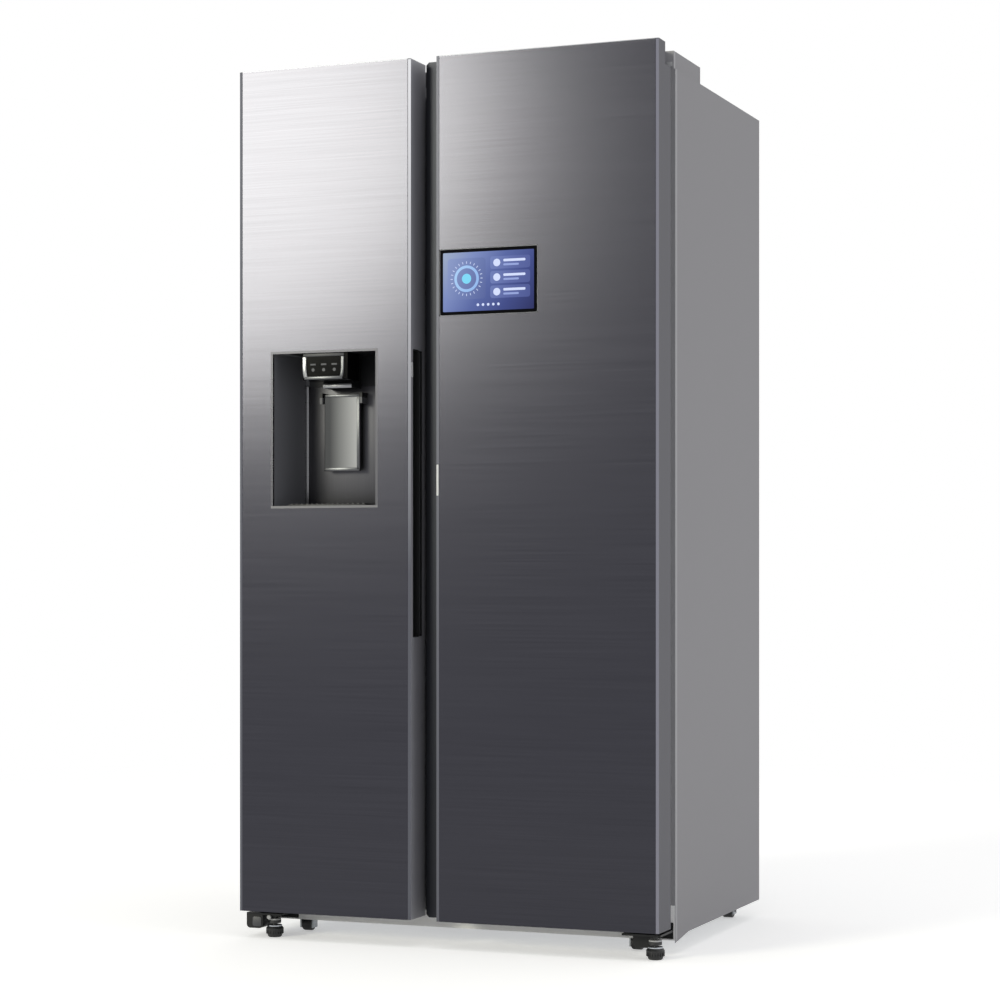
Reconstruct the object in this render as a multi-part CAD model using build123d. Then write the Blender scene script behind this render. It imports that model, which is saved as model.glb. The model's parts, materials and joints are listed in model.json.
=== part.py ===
"""Side by side refrigerator: a freezer on the left, a fridge on the right, with a water and ice dispenser.

Frame: millimetres, +Z up, the doors face -Y, +X is to the right of someone who stands in front of them.
The origin lies on the floor, at the middle of the width and of the whole depth.
"""

from build123d import *
import math
import os

os.makedirs("parts", exist_ok=True)

# ------------------------------------------------------------------ case
CASE_WIDTH = 912.0
CASE_DEPTH = 610.0
CASE_TOP = 1754.0
SIDE_BOTTOM = 36.0  # lower edge of the side sheets
TOE_DROP = 12.0  # how far the side sheet's front corner reaches below that edge
TOE_LENGTH = 90.0
SHEET = 1.0  # steel sheet of the case and of the door skins
LINER = 2.0  # vacuum-formed inner liners
BASE_SHEET = 2.0  # pressed steel of the base
TRAY_SHEET = 3.0  # plate under the compressor
SIDE_WALL_FREEZER = 55.0
SIDE_WALL_FRIDGE = 50.0
TOP_WALL = 60.0
BACK_WALL = 50.0
CAVITY_FLOOR = 100.0
MULLION_SHIFT = 6.0  # middle of the wall between the cavities, from the freezer door's free edge
MULLION_WIDTH = 60.0
BACK_RECESS = 5.0  # the back panel lies this far inside the side sheets' rear edges
MACHINE_DEPTH = 190.0  # compressor compartment, at the bottom of the back
MACHINE_TOP = 250.0
STEP_WALL = 45.0  # insulation over and in front of that compartment
RAIL_BOTTOM = 29.0
RAIL_LIP = 25.0

# ------------------------------------------------------------------ doors
DOOR_DEPTH = 76.0
DOOR_STANDOFF = 30.0  # from the door's inner plate to the case
DOOR_BOTTOM = 56.0
DOOR_RISE = 40.0  # doors' top over the case top
FREEZER_DOOR_WIDTH = 387.0
HAND_GAP = 56.0  # between the two front faces
EDGE_BEVEL = 7.0
EDGE_DROP = 1.5
CAP = 8.0  # end caps
GRIP_SETBACK = 52.0  # the grip rail's face behind the door's front
GRIP_REACH = 44.0
GRIP_BEVEL = 6.0
HINGE_INSET = 24.0  # hinge pin from the door's outer side
HINGE_FORWARD = 18.0  # hinge pin in front of the door's inner plate
NOTCH_LENGTH = 110.0  # room for the hinge arm in the door's top corner
FACE_DEPTH = 41.0  # full-height part of the door in front of that room
NOTCH_GAP = 3.0
PAN_RISE = 12.0  # raised inner panel that carries the gasket
PAN_SIDE = 25.0  # raised panel's edge from the door's hinge side
PAN_FREE = 3.0  # and from its free side
PAN_BOTTOM = 10.0
PAN_TOP = 66.0
GASKET = 14.0
GASKET_EDGE = 1.0
SEAL_GAP = 0.4
DYKE = 10.0  # ribs that hold the door bins
DYKE_DROP = 34.0  # lower end of the ribs below the cavities' ceiling and above their floor
FIT = 0.5  # play of a cover over what it covers
RUN = 0.1  # radial play of a pin in its bore
SLIDE_GAP = 0.4  # play under a drawer and behind a fan
OVER = 1.0  # how far a cut runs past the face it opens

# ------------------------------------------------------------------ hinges
PIN_R = 5.0
PIN_REACH = 28.0
BUSH_R = 10.0
BUSH_LENGTH = 34.0
BUSH_BORE = 30.0
ARM_THICK = 4.0
ARM_WIDTH = 60.0
ARM_SIDE = 2.0  # arm's outer edge inside the pin's axis
ARM_EYE_R = 12.0
ARM_LENGTH = 150.0
COVER_WALL = 2.5
COVER_HEIGHT = 36.0
COVER_INSET = 4.0
COVER_LENGTH = 178.0
SHOE_TOP = 50.0  # lower hinge plate
SHOE_THICK = 4.0
SHOE_INSET = 4.0
SHOE_FRONT = 34.0
SHOE_WIDTH = 80.0
SHOE_TAB = 14.0
HOUSING_BOTTOM = 18.0
HOUSING_WIDTH = 37.0
HOUSING_LENGTH = 40.0
HOUSING_LENGTH_LEFT = 72.0
HOUSING_ROUND = 8.0
HOUSING_CLEARANCE = 2.0  # between a housing and the foot in front of it

# ------------------------------------------------------------------ feet and rollers
FOOT_R = 18.5
FOOT_SOLE_R = 14.5
FOOT_HEIGHT = 22.0
FOOT_EDGE = 2.0  # small bevel round the sole
FOOT_BAND = 4.0  # height of the crown's bevel
FOOT_CROWN = 3.0
FOOT_SETBACK = 41.0  # axis behind the doors' front
FOOT_RIGHT_INSET = 20.0  # axis from the case side
FOOT_LEFT_INSET = 61.0
STUD_R = 5.0
STUD_TOP = 53.5
NUT_R = 13.0
NUT_Z = 29.0
NUT_HEIGHT = 6.0
ROLLER_WIDTH = 22.0
ROLLER_SIDE_GAP = 1.0
ROLLER_EDGE = 1.5
FRONT_ROLLER_SIDE = 90.0  # roller's middle from the case side
FRONT_ROLLER_SETBACK = 36.0
FRONT_ROLLER_R = 14.0
FRONT_ROLLER_LIFT = 2.0
REAR_ROLLER_SIDE = 56.0
REAR_ROLLER_INSET = 48.0
REAR_ROLLER_R = 16.0
AXLE_R = 4.0
CHEEK = 3.0
CHEEK_HALF = 11.0

# ------------------------------------------------------------------ dispenser and handle pocket
RECESS_LEFT = 77.0  # from the freezer door's left side
RECESS_WIDTH = 232.0
RECESS_HEIGHT = 313.0
RECESS_DEPTH = 110.0
RECESS_TAPER = 22.0
TUB_WALL = 3.0
TRIM_WIDTH = 5.0
TRIM_DEPTH = 6.0
PANEL_WIDTH = 101.0
PANEL_HEIGHT = 55.0
PANEL_SETBACK = 7.0
PANEL_DEPTH = 55.0
PANEL_EDGE = 2.0
CHUTE_WIDTH = 68.0
CHUTE_OPENING = 42.0
CHUTE_SLANT = 30.0
CHUTE_SETBACK = 66.0
CHUTE_DROP = 68.0  # mouth of the chute below the recess's ceiling
CHUTE_WALL = 2.5
LEVER_WIDTH = 81.0
LEVER_HEIGHT = 159.0
LEVER_DROP = 80.0
LEVER_THICK = 8.0
LEVER_SETBACK = 87.0
LEVER_EDGE = 2.0
LEVER_PIN_R = 3.0
LEVER_PIN_DROP = 8.0
LUG_WIDTH = 6.0
LUG_GAP = 2.0
LUG_HALF = 11.0
LUG_NOSE = 9.0
POCKET_HEIGHT = 579.0
POCKET_SETBACK = 13.6
POCKET_WIDTH = 25.3
POCKET_DEPTH = 28.0
POCKET_WALL = 2.0
POCKET_LIP = 15.0
POCKET_LIP_RISE = 1.2

# ------------------------------------------------------------------ display
SCREEN_LEFT = 7.0  # from the fridge door's left edge
SCREEN_WIDTH = 211.0
SCREEN_LIFT = 64.0  # its lower edge over the dispenser's recess
SCREEN_HEIGHT = 134.0
SCREEN_DEPTH = 14.0

# ------------------------------------------------------------------ door storage
BIN_WALL = 2.5
BIN_HEIGHT = 90.0
FREEZER_BIN_DEPTH = 92.0  # behind the door's inner plate
FRIDGE_BIN_DEPTH = 142.0
FREEZER_BINS = 2
FREEZER_BIN_DROP = 150.0  # upper freezer bin's bottom under the bulge
FREEZER_BIN_PITCH = 160.0
FRIDGE_BINS = 4  # the top one is the dairy bin
FRIDGE_BIN_BOTTOM = 540.0
DAIRY_DROP = 294.0  # dairy bin's bottom under the cavity's ceiling
FREEZER_DYKE_IN = 60.0  # rib's outer face from the door's hinge side
FREEZER_DYKE_FREE = 43.0  # and from its free side
FRIDGE_DYKE_IN = 60.0
FRIDGE_DYKE_FREE = 5.0
BULGE_UNDER = 24.0  # inner panel's bulge reaches this far under the recess
BULGE_OVER = 33.0  # and this far over it
BULGE_DEPTH = 67.0
BUCKET_HEIGHT = 155.0
BUCKET_DEPTH = 120.0
BUCKET_INSET = 8.0
MAKER_HEIGHT = 180.0
MAKER_DROP = 111.0  # its top under the cavity's ceiling
MAKER_DEPTH = 105.0
MAKER_ROUND = 12.0
LID_THICK = 3.0
LID_PIN_R = 2.5
LID_PIN_REACH = 5.0
LID_RISE = 3.0
LID_LIP = 33.0
LID_SIDE_GAP = 2.0
LID_START = 4.0  # lid's hinge edge behind the raised panel
LID_PIN_BACK = 4.0  # pin behind that edge

# ------------------------------------------------------------------ shelves and drawers
GLASS = 5.0
FREEZER_SHELF_SETBACK = 90.0  # shelf's front behind the case front
FRIDGE_SHELF_SETBACK = 140.0
SHELF_BACK_GAP = 22.0
FREEZER_SHELVES = 3
FRIDGE_SHELVES = 4
LOW_SHELF = 486.0
TOP_SHELF_DROP = 324.0  # top shelf under the cavity's ceiling
LEDGE = 10.0
LEDGE_THICK = 8.0
SHELF_TRIM_DEPTH = 10.0
SHELF_TRIM_HEIGHT = 14.0
SHELF_TRIM_RISE = 1.0  # trim's top edge over the glass
SHELF_TRIM_EDGE = 2.0
SHELF_SIDE_GAP = 1.0
DRAWER_SPLIT = 300.0  # ledge under the upper drawers
DRAWER_WALL = 3.0
DRAWER_SIDE_GAP = 3.0
DRAWER_HINGE_GAP = 20.0  # wider beside the door's hinge, to clear the open door's gasket
DRAWER_SETBACK = 10.0  # drawer's front behind the shelf's front
DRAWER_HEAD_GAP = 12.0
DRAWER_GRIP = 12.0
DRAWER_GRIP_HEIGHT = 16.0
DRAWER_BACK_GAP = 14.0

# ------------------------------------------------------------------ cooling
DUCT_WALL = 3.0
FREEZER_DUCT_DEPTH = 55.0
FREEZER_DUCT_SIDE_GAP = 2.0
FRIDGE_DUCT_DEPTH = 18.0
FRIDGE_DUCT_WIDTH = 190.0
DUCT_TOP_GAP = 4.0
SLOT_WIDTH = 120.0
SLOT_HEIGHT = 8.0
SLOT_RISE = 150.0  # air slots over each shelf
FAN_LEVEL = 720.0
FAN_OPENING_R = 58.0
FAN_HUB_R = 17.0
FAN_BLADES = 5
FAN_DEPTH = 20.0
FAN_TIP_GAP = 4.0
BLADE_PITCH = 35.0  # degrees
BLADE_FILL = 0.85  # share of the hub's depth that a blade covers
BLADE_THICK = 2.0
SPINDLE_R = 3.0
SPOKES = 3
SPOKE = 6.0
COIL_BOTTOM = 330.0
COIL_HEIGHT = 230.0
COIL_DEPTH = 38.0
FIN = 2.0
FIN_COUNT = 13
TUBE_R = 4.0
TUBE_ROWS = 4
TUBE_COLUMNS = 2
LAMP_WIDTH = 160.0
LAMP_DEPTH = 60.0
LAMP_THICK = 8.0
LAMP_EDGE = 3.0
COMPRESSOR_R = 72.0
COMPRESSOR_HEIGHT = 150.0
COMPRESSOR_SIDE = 191.0  # its axis from the case side
COMPRESSOR_ROUND = 26.0
COMPRESSOR_FOOT_R = 12.0
COMPRESSOR_FOOT_HEIGHT = 14.0
TERMINAL_BOX = 44.0
CONDENSER_SIDE = 61.0
CONDENSER_LENGTH = 130.0
CONDENSER_HEIGHT = 170.0
CONDENSER_WIDTH = 150.0
CONDENSER_FINS = 16
SHROUD_GAP = 20.0
CONDENSER_FAN_R = 78.0
MACHINE_COVER_GAP = 1.0
LOUVRE_WIDTH = 240.0
LOUVRE_HEIGHT = 5.0
LOUVRE_PITCH = 16.0
LOUVRE_ROWS = 9
SCREW_HEAD_R = 4.5
SCREW_HEAD = 2.2
SCREW_SHANK_R = 1.9
SCREW_HOLE_R = 2.05
SCREW_LENGTH = 14.0
SCREW_EDGE = 14.0
BACK_SCREW_ROWS = 5
COVER_SCREWS = 5

# ------------------------------------------------------------------ places that follow from those sizes
SIDE = CASE_WIDTH / 2
FRONT = -(CASE_DEPTH + DOOR_DEPTH + DOOR_STANDOFF) / 2
DOOR_BACK = FRONT + DOOR_DEPTH
CASE_FRONT = DOOR_BACK + DOOR_STANDOFF
CASE_REAR = CASE_FRONT + CASE_DEPTH
INNER = SIDE - SHEET
PANEL_Y = CASE_REAR - BACK_RECESS - SHEET  # inner face of the back panel
CAVITY_TOP = CASE_TOP - TOP_WALL
CAVITY_BACK = PANEL_Y - BACK_WALL
MACHINE_Y = CASE_REAR - MACHINE_DEPTH
STEP_Y = MACHINE_Y - STEP_WALL
STEP_Z = MACHINE_TOP + STEP_WALL
FREEZER_DOOR = (-SIDE, -SIDE + FREEZER_DOOR_WIDTH)
FRIDGE_DOOR = (FREEZER_DOOR[1] + HAND_GAP, SIDE)
DOOR_TOP = CASE_TOP + DOOR_RISE
MULLION_X = FREEZER_DOOR[1] + MULLION_SHIFT
FREEZER_X = (-SIDE + SIDE_WALL_FREEZER, MULLION_X - MULLION_WIDTH / 2)
FRIDGE_X = (MULLION_X + MULLION_WIDTH / 2, SIDE - SIDE_WALL_FRIDGE)
GRIP_X = FRIDGE_DOOR[0] - GRIP_REACH
HINGE_X = SIDE - HINGE_INSET
HINGE_Y = DOOR_BACK - HINGE_FORWARD
NOTCH_Z = CASE_TOP - NOTCH_GAP
NOTCH_Y = FRONT + FACE_DEPTH
PLATE_BACK = DOOR_BACK + LINER
PAN_BACK = PLATE_BACK + PAN_RISE
GASKET_BACK = CASE_FRONT - SEAL_GAP
PAN_Z = (DOOR_BOTTOM + PAN_BOTTOM, DOOR_TOP - PAN_TOP)
FREEZER_PAN = (FREEZER_DOOR[0] + PAN_SIDE, FREEZER_DOOR[1] - PAN_FREE)
FRIDGE_PAN = (GRIP_X + PAN_FREE, FRIDGE_DOOR[1] - PAN_SIDE)
FREEZER_DYKES = (FREEZER_DOOR[0] + FREEZER_DYKE_IN, FREEZER_DOOR[1] - FREEZER_DYKE_FREE)
FRIDGE_DYKES = (FRIDGE_DOOR[0] + FRIDGE_DYKE_FREE, FRIDGE_DOOR[1] - FRIDGE_DYKE_IN)
RECESS_X = (FREEZER_DOOR[0] + RECESS_LEFT, FREEZER_DOOR[0] + RECESS_LEFT + RECESS_WIDTH)
RECESS_MID = sum(RECESS_X) / 2
MAKER_BOTTOM = CAVITY_TOP - MAKER_DROP - MAKER_HEIGHT
BULGE_TOP = MAKER_BOTTOM - BUCKET_INSET - BUCKET_HEIGHT
RECESS_TOP = BULGE_TOP - BULGE_OVER
RECESS_BOTTOM = RECESS_TOP - RECESS_HEIGHT
BULGE_BOTTOM = RECESS_BOTTOM - BULGE_UNDER
POCKET_BOTTOM = RECESS_TOP - POCKET_HEIGHT
SCREEN_BOTTOM = RECESS_TOP + SCREEN_LIFT
FOOT_RIGHT_X = SIDE - FOOT_RIGHT_INSET
FOOT_LEFT_X = FOOT_LEFT_INSET - SIDE
FOOT_Y = FRONT + FOOT_SETBACK
FRONT_ROLLER_X = SIDE - FRONT_ROLLER_SIDE
REAR_ROLLER_X = SIDE - REAR_ROLLER_SIDE
FRONT_ROLLER_Y = CASE_FRONT + FRONT_ROLLER_SETBACK
FRONT_ROLLER_Z = FRONT_ROLLER_LIFT + FRONT_ROLLER_R
REAR_ROLLER_Y = CASE_REAR - REAR_ROLLER_INSET
MACHINE_MID = (MACHINE_Y + PANEL_Y) / 2
TRAY_TOP = SIDE_BOTTOM + TRAY_SHEET
SHELF_FRONT = {"freezer": CASE_FRONT + FREEZER_SHELF_SETBACK, "fridge": CASE_FRONT + FRIDGE_SHELF_SETBACK}
SHELF_BACK = {"fridge": CAVITY_BACK - SHELF_BACK_GAP}
SHELF_BACK["freezer"] = SHELF_BACK["fridge"] - FREEZER_DUCT_DEPTH
SHELF_STEP = (CAVITY_TOP - TOP_SHELF_DROP - LOW_SHELF) / (FRIDGE_SHELVES - 1)
SHELF_LEVELS = [LOW_SHELF + SHELF_STEP * i for i in range(FRIDGE_SHELVES)]
SLOT_LEVELS = [level + SLOT_RISE for level in SHELF_LEVELS]
BIN_STEP = (CAVITY_TOP - DAIRY_DROP - FRIDGE_BIN_BOTTOM) / (FRIDGE_BINS - 1)
FRIDGE_BIN_LEVELS = [FRIDGE_BIN_BOTTOM + BIN_STEP * i for i in range(FRIDGE_BINS)]
FREEZER_BIN_LEVELS = [BULGE_BOTTOM - FREEZER_BIN_DROP - FREEZER_BIN_PITCH * i for i in range(FREEZER_BINS)]
BULGE_X = (FREEZER_DYKES[0] + DYKE, FREEZER_DYKES[1] - DYKE)
BULGE_Y = DOOR_BACK + BULGE_DEPTH
LEVER_X = (RECESS_MID - LEVER_WIDTH / 2, RECESS_MID + LEVER_WIDTH / 2)
LEVER_TOP = RECESS_TOP - LEVER_DROP
LEVER_Y = FRONT + LEVER_SETBACK
LEVER_AXIS = (LEVER_Y + LEVER_THICK / 2, LEVER_TOP - LEVER_PIN_DROP)  # (y, z) of its pivot
LID_EDGE = PAN_BACK + LID_START
LID_AXIS = (LID_EDGE + LID_PIN_BACK, FRIDGE_BIN_LEVELS[-1] + BIN_HEIGHT + LID_RISE + LID_THICK / 2)  # (y, z)
COMPRESSOR_X = SIDE - COMPRESSOR_SIDE
CONDENSER_X = CONDENSER_SIDE - SIDE
CONDENSER_MID_Z = TRAY_TOP + CONDENSER_HEIGHT / 2 + BASE_SHEET * 3
SHROUD_X = CONDENSER_X + CONDENSER_LENGTH + SHROUD_GAP


# ------------------------------------------------------------------ small helpers
def block(x, y, z):
    """A box between two corners, given as three (low, high) pairs."""
    size = [b - a for a, b in (x, y, z)]
    middle = [(a + b) / 2 for a, b in (x, y, z)]
    return Pos(*middle) * Box(*size)


def rod_x(x, y, z, r):
    """A round rod along X from x[0] to x[1]."""
    return Pos((x[0] + x[1]) / 2, y, z) * Rot(0, 90, 0) * Cylinder(r, x[1] - x[0])


def rod_y(x, y, z, r):
    """A round rod along Y from y[0] to y[1]."""
    return Pos(x, (y[0] + y[1]) / 2, z) * Rot(90, 0, 0) * Cylinder(r, y[1] - y[0])


def rod_z(x, y, z, r):
    """A round rod along Z from z[0] to z[1]."""
    return Pos(x, y, (z[0] + z[1]) / 2) * Cylinder(r, z[1] - z[0])


def prism_z(points, z):
    """A closed outline in plan, standing from z[0] to z[1]."""
    face = make_face(Polyline(*points, close=True))
    return Pos(0, 0, z[0]) * extrude(face, z[1] - z[0], dir=(0, 0, 1))


def prism_x(points, x):
    """A closed outline of (y, z) points, running from x[0] to x[1]."""
    face = make_face(Plane.YZ * Polyline(*points, close=True))
    return Pos(x[0], 0, 0) * extrude(face, x[1] - x[0], dir=(1, 0, 0))


def mirrored(shape):
    """The same piece for the other side of the case."""
    return mirror(shape, Plane.YZ)


def ring(x, y, z, width):
    """A rectangular frame whose opening runs along Y."""
    inside = block((x[0] + width, x[1] - width), y, (z[0] + width, z[1] - width))
    return block(x, y, z) - inside


def tub(x, y, z, wall):
    """A box open at its top."""
    inside = block((x[0] + wall, x[1] - wall), (y[0] + wall, y[1] - wall), (z[0] + wall, z[1]))
    return block(x, y, z) - inside


def rotor(hub_r, tip_r, depth, blades):
    """A fan wheel about Z: a hub with a bore and pitched blades."""
    wheel = Cylinder(hub_r, depth)
    chord = depth / math.sin(math.radians(BLADE_PITCH)) * BLADE_FILL
    root = hub_r - OVER
    for i in range(blades):
        blade = Pos((root + tip_r) / 2, 0, 0) * Rot(BLADE_PITCH, 0, 0) * Box(tip_r - root, chord, BLADE_THICK)
        wheel += Rot(0, 0, 360 / blades * i) * blade
    return wheel - Cylinder(SPINDLE_R + RUN, depth * 2)


def guard(opening_r, plate, hub_r, spindle):
    """A fan's guard about Z: spokes, a boss and a spindle that stands up from it."""
    piece = Pos(0, 0, plate / 2) * Cylinder(hub_r, plate)
    for i in range(SPOKES):
        spoke = Pos((opening_r + OVER) / 2, 0, plate / 2) * Box(opening_r + OVER, SPOKE, plate)
        piece += Rot(0, 0, 360 / SPOKES * i) * spoke
    return piece + Pos(0, 0, plate + spindle / 2) * Cylinder(SPINDLE_R, spindle)


def save(name, *shapes):
    """Writes one sub-part, made of one or more separate solids."""
    solids = [solid for shape in shapes for solid in shape.solids()]
    export_step(solids[0] if len(solids) == 1 else Compound(solids), f"parts/{name}.step")


# ------------------------------------------------------------------ case
def cavity(x, grow=0.0, front=0.0):
    """The space inside one liner, or its outside when grown by the liner's thickness."""
    wide = (x[0] - grow, x[1] + grow)
    top = CAVITY_TOP + grow
    shallow = block(wide, (CASE_FRONT - front, STEP_Y + grow), (CAVITY_FLOOR - grow, top))
    deep = block(wide, (CASE_FRONT - front, CAVITY_BACK + grow), (STEP_Z - grow, top))
    return shallow + deep


def ledges(x, y, z, left=LEDGE, right=LEDGE):
    """Two bearing ledges along the side walls of a cavity, with their top at z."""
    rail = (z - LEDGE_THICK, z)
    return block((x[0], x[0] + left), y, rail) + block((x[1] - right, x[1]), y, rail)


def drawer_gaps(kind):
    """Side gaps of a drawer, left and right: the wide one is on its door's hinge side."""
    gaps = (DRAWER_HINGE_GAP, DRAWER_SIDE_GAP)
    return gaps if kind == "freezer" else gaps[::-1]


def liner(x, kind):
    shell = cavity(x, LINER) - cavity(x, 0.0, OVER)
    levels = SHELF_LEVELS if kind == "fridge" else SHELF_LEVELS[:FREEZER_SHELVES]
    for level in levels:
        shell += ledges(x, (SHELF_FRONT[kind] + SHELF_TRIM_DEPTH, SHELF_BACK[kind]), level)
    left, right = drawer_gaps(kind)
    bearing = (SHELF_FRONT[kind] + DRAWER_SETBACK, STEP_Y)
    return shell + ledges(x, bearing, DRAWER_SPLIT, left + LEDGE, right + LEDGE)


def screw_places():
    """Where the back panel and the compressor cover are screwed on, as (x, z)."""
    low = MACHINE_TOP + BASE_SHEET + SCREW_EDGE
    high = CASE_TOP - SHEET - SCREW_EDGE
    places = []
    for i in range(BACK_SCREW_ROWS):
        z = low + (high - low) * i / (BACK_SCREW_ROWS - 1)
        places += [(-INNER + SCREW_EDGE, z), (INNER - SCREW_EDGE, z)]
    return places


def cover_screw_places():
    z = MACHINE_TOP - SCREW_EDGE
    reach = INNER - SCREW_EDGE
    return [(-reach + 2 * reach * i / (COVER_SCREWS - 1), z) for i in range(COVER_SCREWS)]


def outer_case():
    side = [
        (CASE_FRONT, SIDE_BOTTOM - TOE_DROP),
        (CASE_FRONT + TOE_LENGTH, SIDE_BOTTOM),
        (CASE_REAR, SIDE_BOTTOM),
        (CASE_REAR, CASE_TOP),
        (CASE_FRONT, CASE_TOP),
    ]
    wrap = prism_x(side, (INNER, SIDE)) + prism_x(side, (-SIDE, -INNER))
    wrap += block((-SIDE, SIDE), (CASE_FRONT, CASE_REAR), (CASE_TOP - SHEET, CASE_TOP))
    lip = (CASE_FRONT, CASE_FRONT + SHEET)
    floor = CAVITY_FLOOR - LINER
    wrap += block((-SIDE, FREEZER_X[0] - LINER), lip, (floor, CASE_TOP))
    wrap += block((FRIDGE_X[1] + LINER, SIDE), lip, (floor, CASE_TOP))
    wrap += block((FREEZER_X[1] + LINER, FRIDGE_X[0] - LINER), lip, (floor, CASE_TOP))
    return wrap + block((-SIDE, SIDE), lip, (CAVITY_TOP + LINER, CASE_TOP))


def screw_holes(places, y):
    holes = Part()
    for x, z in places:
        holes += rod_y(x, y, z, SCREW_HOLE_R)
    return holes


def foam_insulation():
    fill = block((-INNER, INNER), (CASE_FRONT + SHEET, PANEL_Y), (SIDE_BOTTOM + BASE_SHEET, CASE_TOP - SHEET))
    machine = block((-SIDE, SIDE), (MACHINE_Y - BASE_SHEET, CASE_REAR), (0, MACHINE_TOP + BASE_SHEET))
    holes = screw_holes(screw_places(), (PANEL_Y - SCREW_LENGTH - FIT, CASE_REAR))
    return fill - machine - cavity(FREEZER_X, LINER, OVER) - cavity(FRIDGE_X, LINER, OVER) - holes


def back_panel():
    sheet = block((-INNER, INNER), (PANEL_Y, PANEL_Y + SHEET), (MACHINE_TOP, CASE_TOP - SHEET))
    return sheet - screw_holes(screw_places(), (PANEL_Y - OVER, CASE_REAR))


def cheeks(x, y, z, bottom):
    """A pair of bracket cheeks under the base, one on each side of a roller."""
    half = ROLLER_WIDTH / 2 + ROLLER_SIDE_GAP
    height = (bottom, SIDE_BOTTOM)
    depth = (y - CHEEK_HALF, y + CHEEK_HALF)
    pair = block((x - half - CHEEK, x - half), depth, height)
    return pair + block((x + half, x + half + CHEEK), depth, height)


def base_frame():
    rear = PANEL_Y - SHEET
    frame = block((-INNER, INNER), (CASE_FRONT + SHEET, MACHINE_Y), (SIDE_BOTTOM, SIDE_BOTTOM + BASE_SHEET))
    frame += block((-INNER, INNER), (MACHINE_Y - BASE_SHEET, MACHINE_Y), (SIDE_BOTTOM, MACHINE_TOP))
    frame += block(
        (-INNER, INNER), (MACHINE_Y - BASE_SHEET, PANEL_Y), (MACHINE_TOP, MACHINE_TOP + BASE_SHEET)
    )
    frame += block((-INNER, INNER), (MACHINE_Y, rear), (SIDE_BOTTOM, TRAY_TOP))
    span = ROLLER_WIDTH / 2 + ROLLER_SIDE_GAP + CHEEK
    for side in (-1, 1):
        x = side * FRONT_ROLLER_X
        frame += cheeks(x, FRONT_ROLLER_Y, FRONT_ROLLER_Z, FRONT_ROLLER_Z - AXLE_R * 2)
        frame += rod_x((x - span, x + span), FRONT_ROLLER_Y, FRONT_ROLLER_Z, AXLE_R)
        frame += cheeks(side * REAR_ROLLER_X, REAR_ROLLER_Y, REAR_ROLLER_R, REAR_ROLLER_R - AXLE_R * 2)
    return frame - rod_x((-SIDE, SIDE), REAR_ROLLER_Y, REAR_ROLLER_R, AXLE_R + RUN)


def front_rail():
    face = block((-INNER, INNER), (CASE_FRONT, CASE_FRONT + SHEET), (RAIL_BOTTOM, CAVITY_FLOOR - LINER))
    lip = block((-INNER, INNER), (CASE_FRONT, CASE_FRONT + RAIL_LIP), (RAIL_BOTTOM, RAIL_BOTTOM + SHEET))
    return face + lip


def machine_cover():
    rear = (PANEL_Y - SHEET, PANEL_Y)
    plate = block((-INNER + MACHINE_COVER_GAP, INNER - MACHINE_COVER_GAP), rear, (TRAY_TOP, MACHINE_TOP))
    first = TRAY_TOP + LOUVRE_PITCH * 2
    for side in (-1, 1):
        middle = side * INNER / 2
        for row in range(LOUVRE_ROWS):
            z = first + row * LOUVRE_PITCH
            slot = (middle - LOUVRE_WIDTH / 2, middle + LOUVRE_WIDTH / 2)
            plate -= block(slot, (rear[0] - OVER, rear[1] + OVER), (z, z + LOUVRE_HEIGHT))
    return plate - screw_holes(cover_screw_places(), (rear[0] - OVER, rear[1] + OVER))


def case_screws():
    screws = []
    for places, face in ((screw_places(), PANEL_Y + SHEET), (cover_screw_places(), PANEL_Y)):
        for x, z in places:
            head = rod_y(x, (face, face + SCREW_HEAD), z, SCREW_HEAD_R)
            screws.append(head + rod_y(x, (face - SCREW_LENGTH, face), z, SCREW_SHANK_R))
    return screws


# ------------------------------------------------------------------ hinges
def upper_bracket():
    """The right hand arm on the case top, with the pin that the door hangs on."""
    plate = (CASE_TOP, CASE_TOP + ARM_THICK)
    across = (HINGE_X - ARM_SIDE - ARM_WIDTH, HINGE_X - ARM_SIDE)
    arm = block(across, (HINGE_Y - ARM_EYE_R, HINGE_Y + ARM_LENGTH), plate)
    eye = rod_z(HINGE_X, HINGE_Y, plate, ARM_EYE_R)
    return arm + eye + rod_z(HINGE_X, HINGE_Y, (CASE_TOP - PIN_REACH, plate[1]), PIN_R)


def hinge_cover():
    """The right hand cover over the arm."""
    height = (CASE_TOP, CASE_TOP + COVER_HEIGHT)
    rear = CASE_FRONT + SHEET * 2 + COVER_LENGTH
    inner = HINGE_X - ARM_SIDE - ARM_WIDTH - FIT - COVER_WALL
    side = SIDE - COVER_INSET
    nose = HINGE_X - ARM_SIDE + FIT + COVER_WALL
    nose_y = HINGE_Y + ARM_EYE_R + FIT
    body = block((inner, side), (CASE_FRONT + SHEET * 2, rear), height)
    body += block((inner, nose), (nose_y, rear), height)
    w = COVER_WALL
    room = (CASE_TOP, CASE_TOP + COVER_HEIGHT - w)
    hollow = block((inner + w, side - w), (CASE_FRONT + SHEET * 2 + w, rear - w), room)
    hollow += block((inner + w, nose - w), (nose_y + w, rear - w), room)
    slot = block((inner + w, nose - w), (HINGE_Y, rear - w), (CASE_TOP, CASE_TOP + ARM_THICK + FIT))
    return body - hollow - slot


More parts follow.
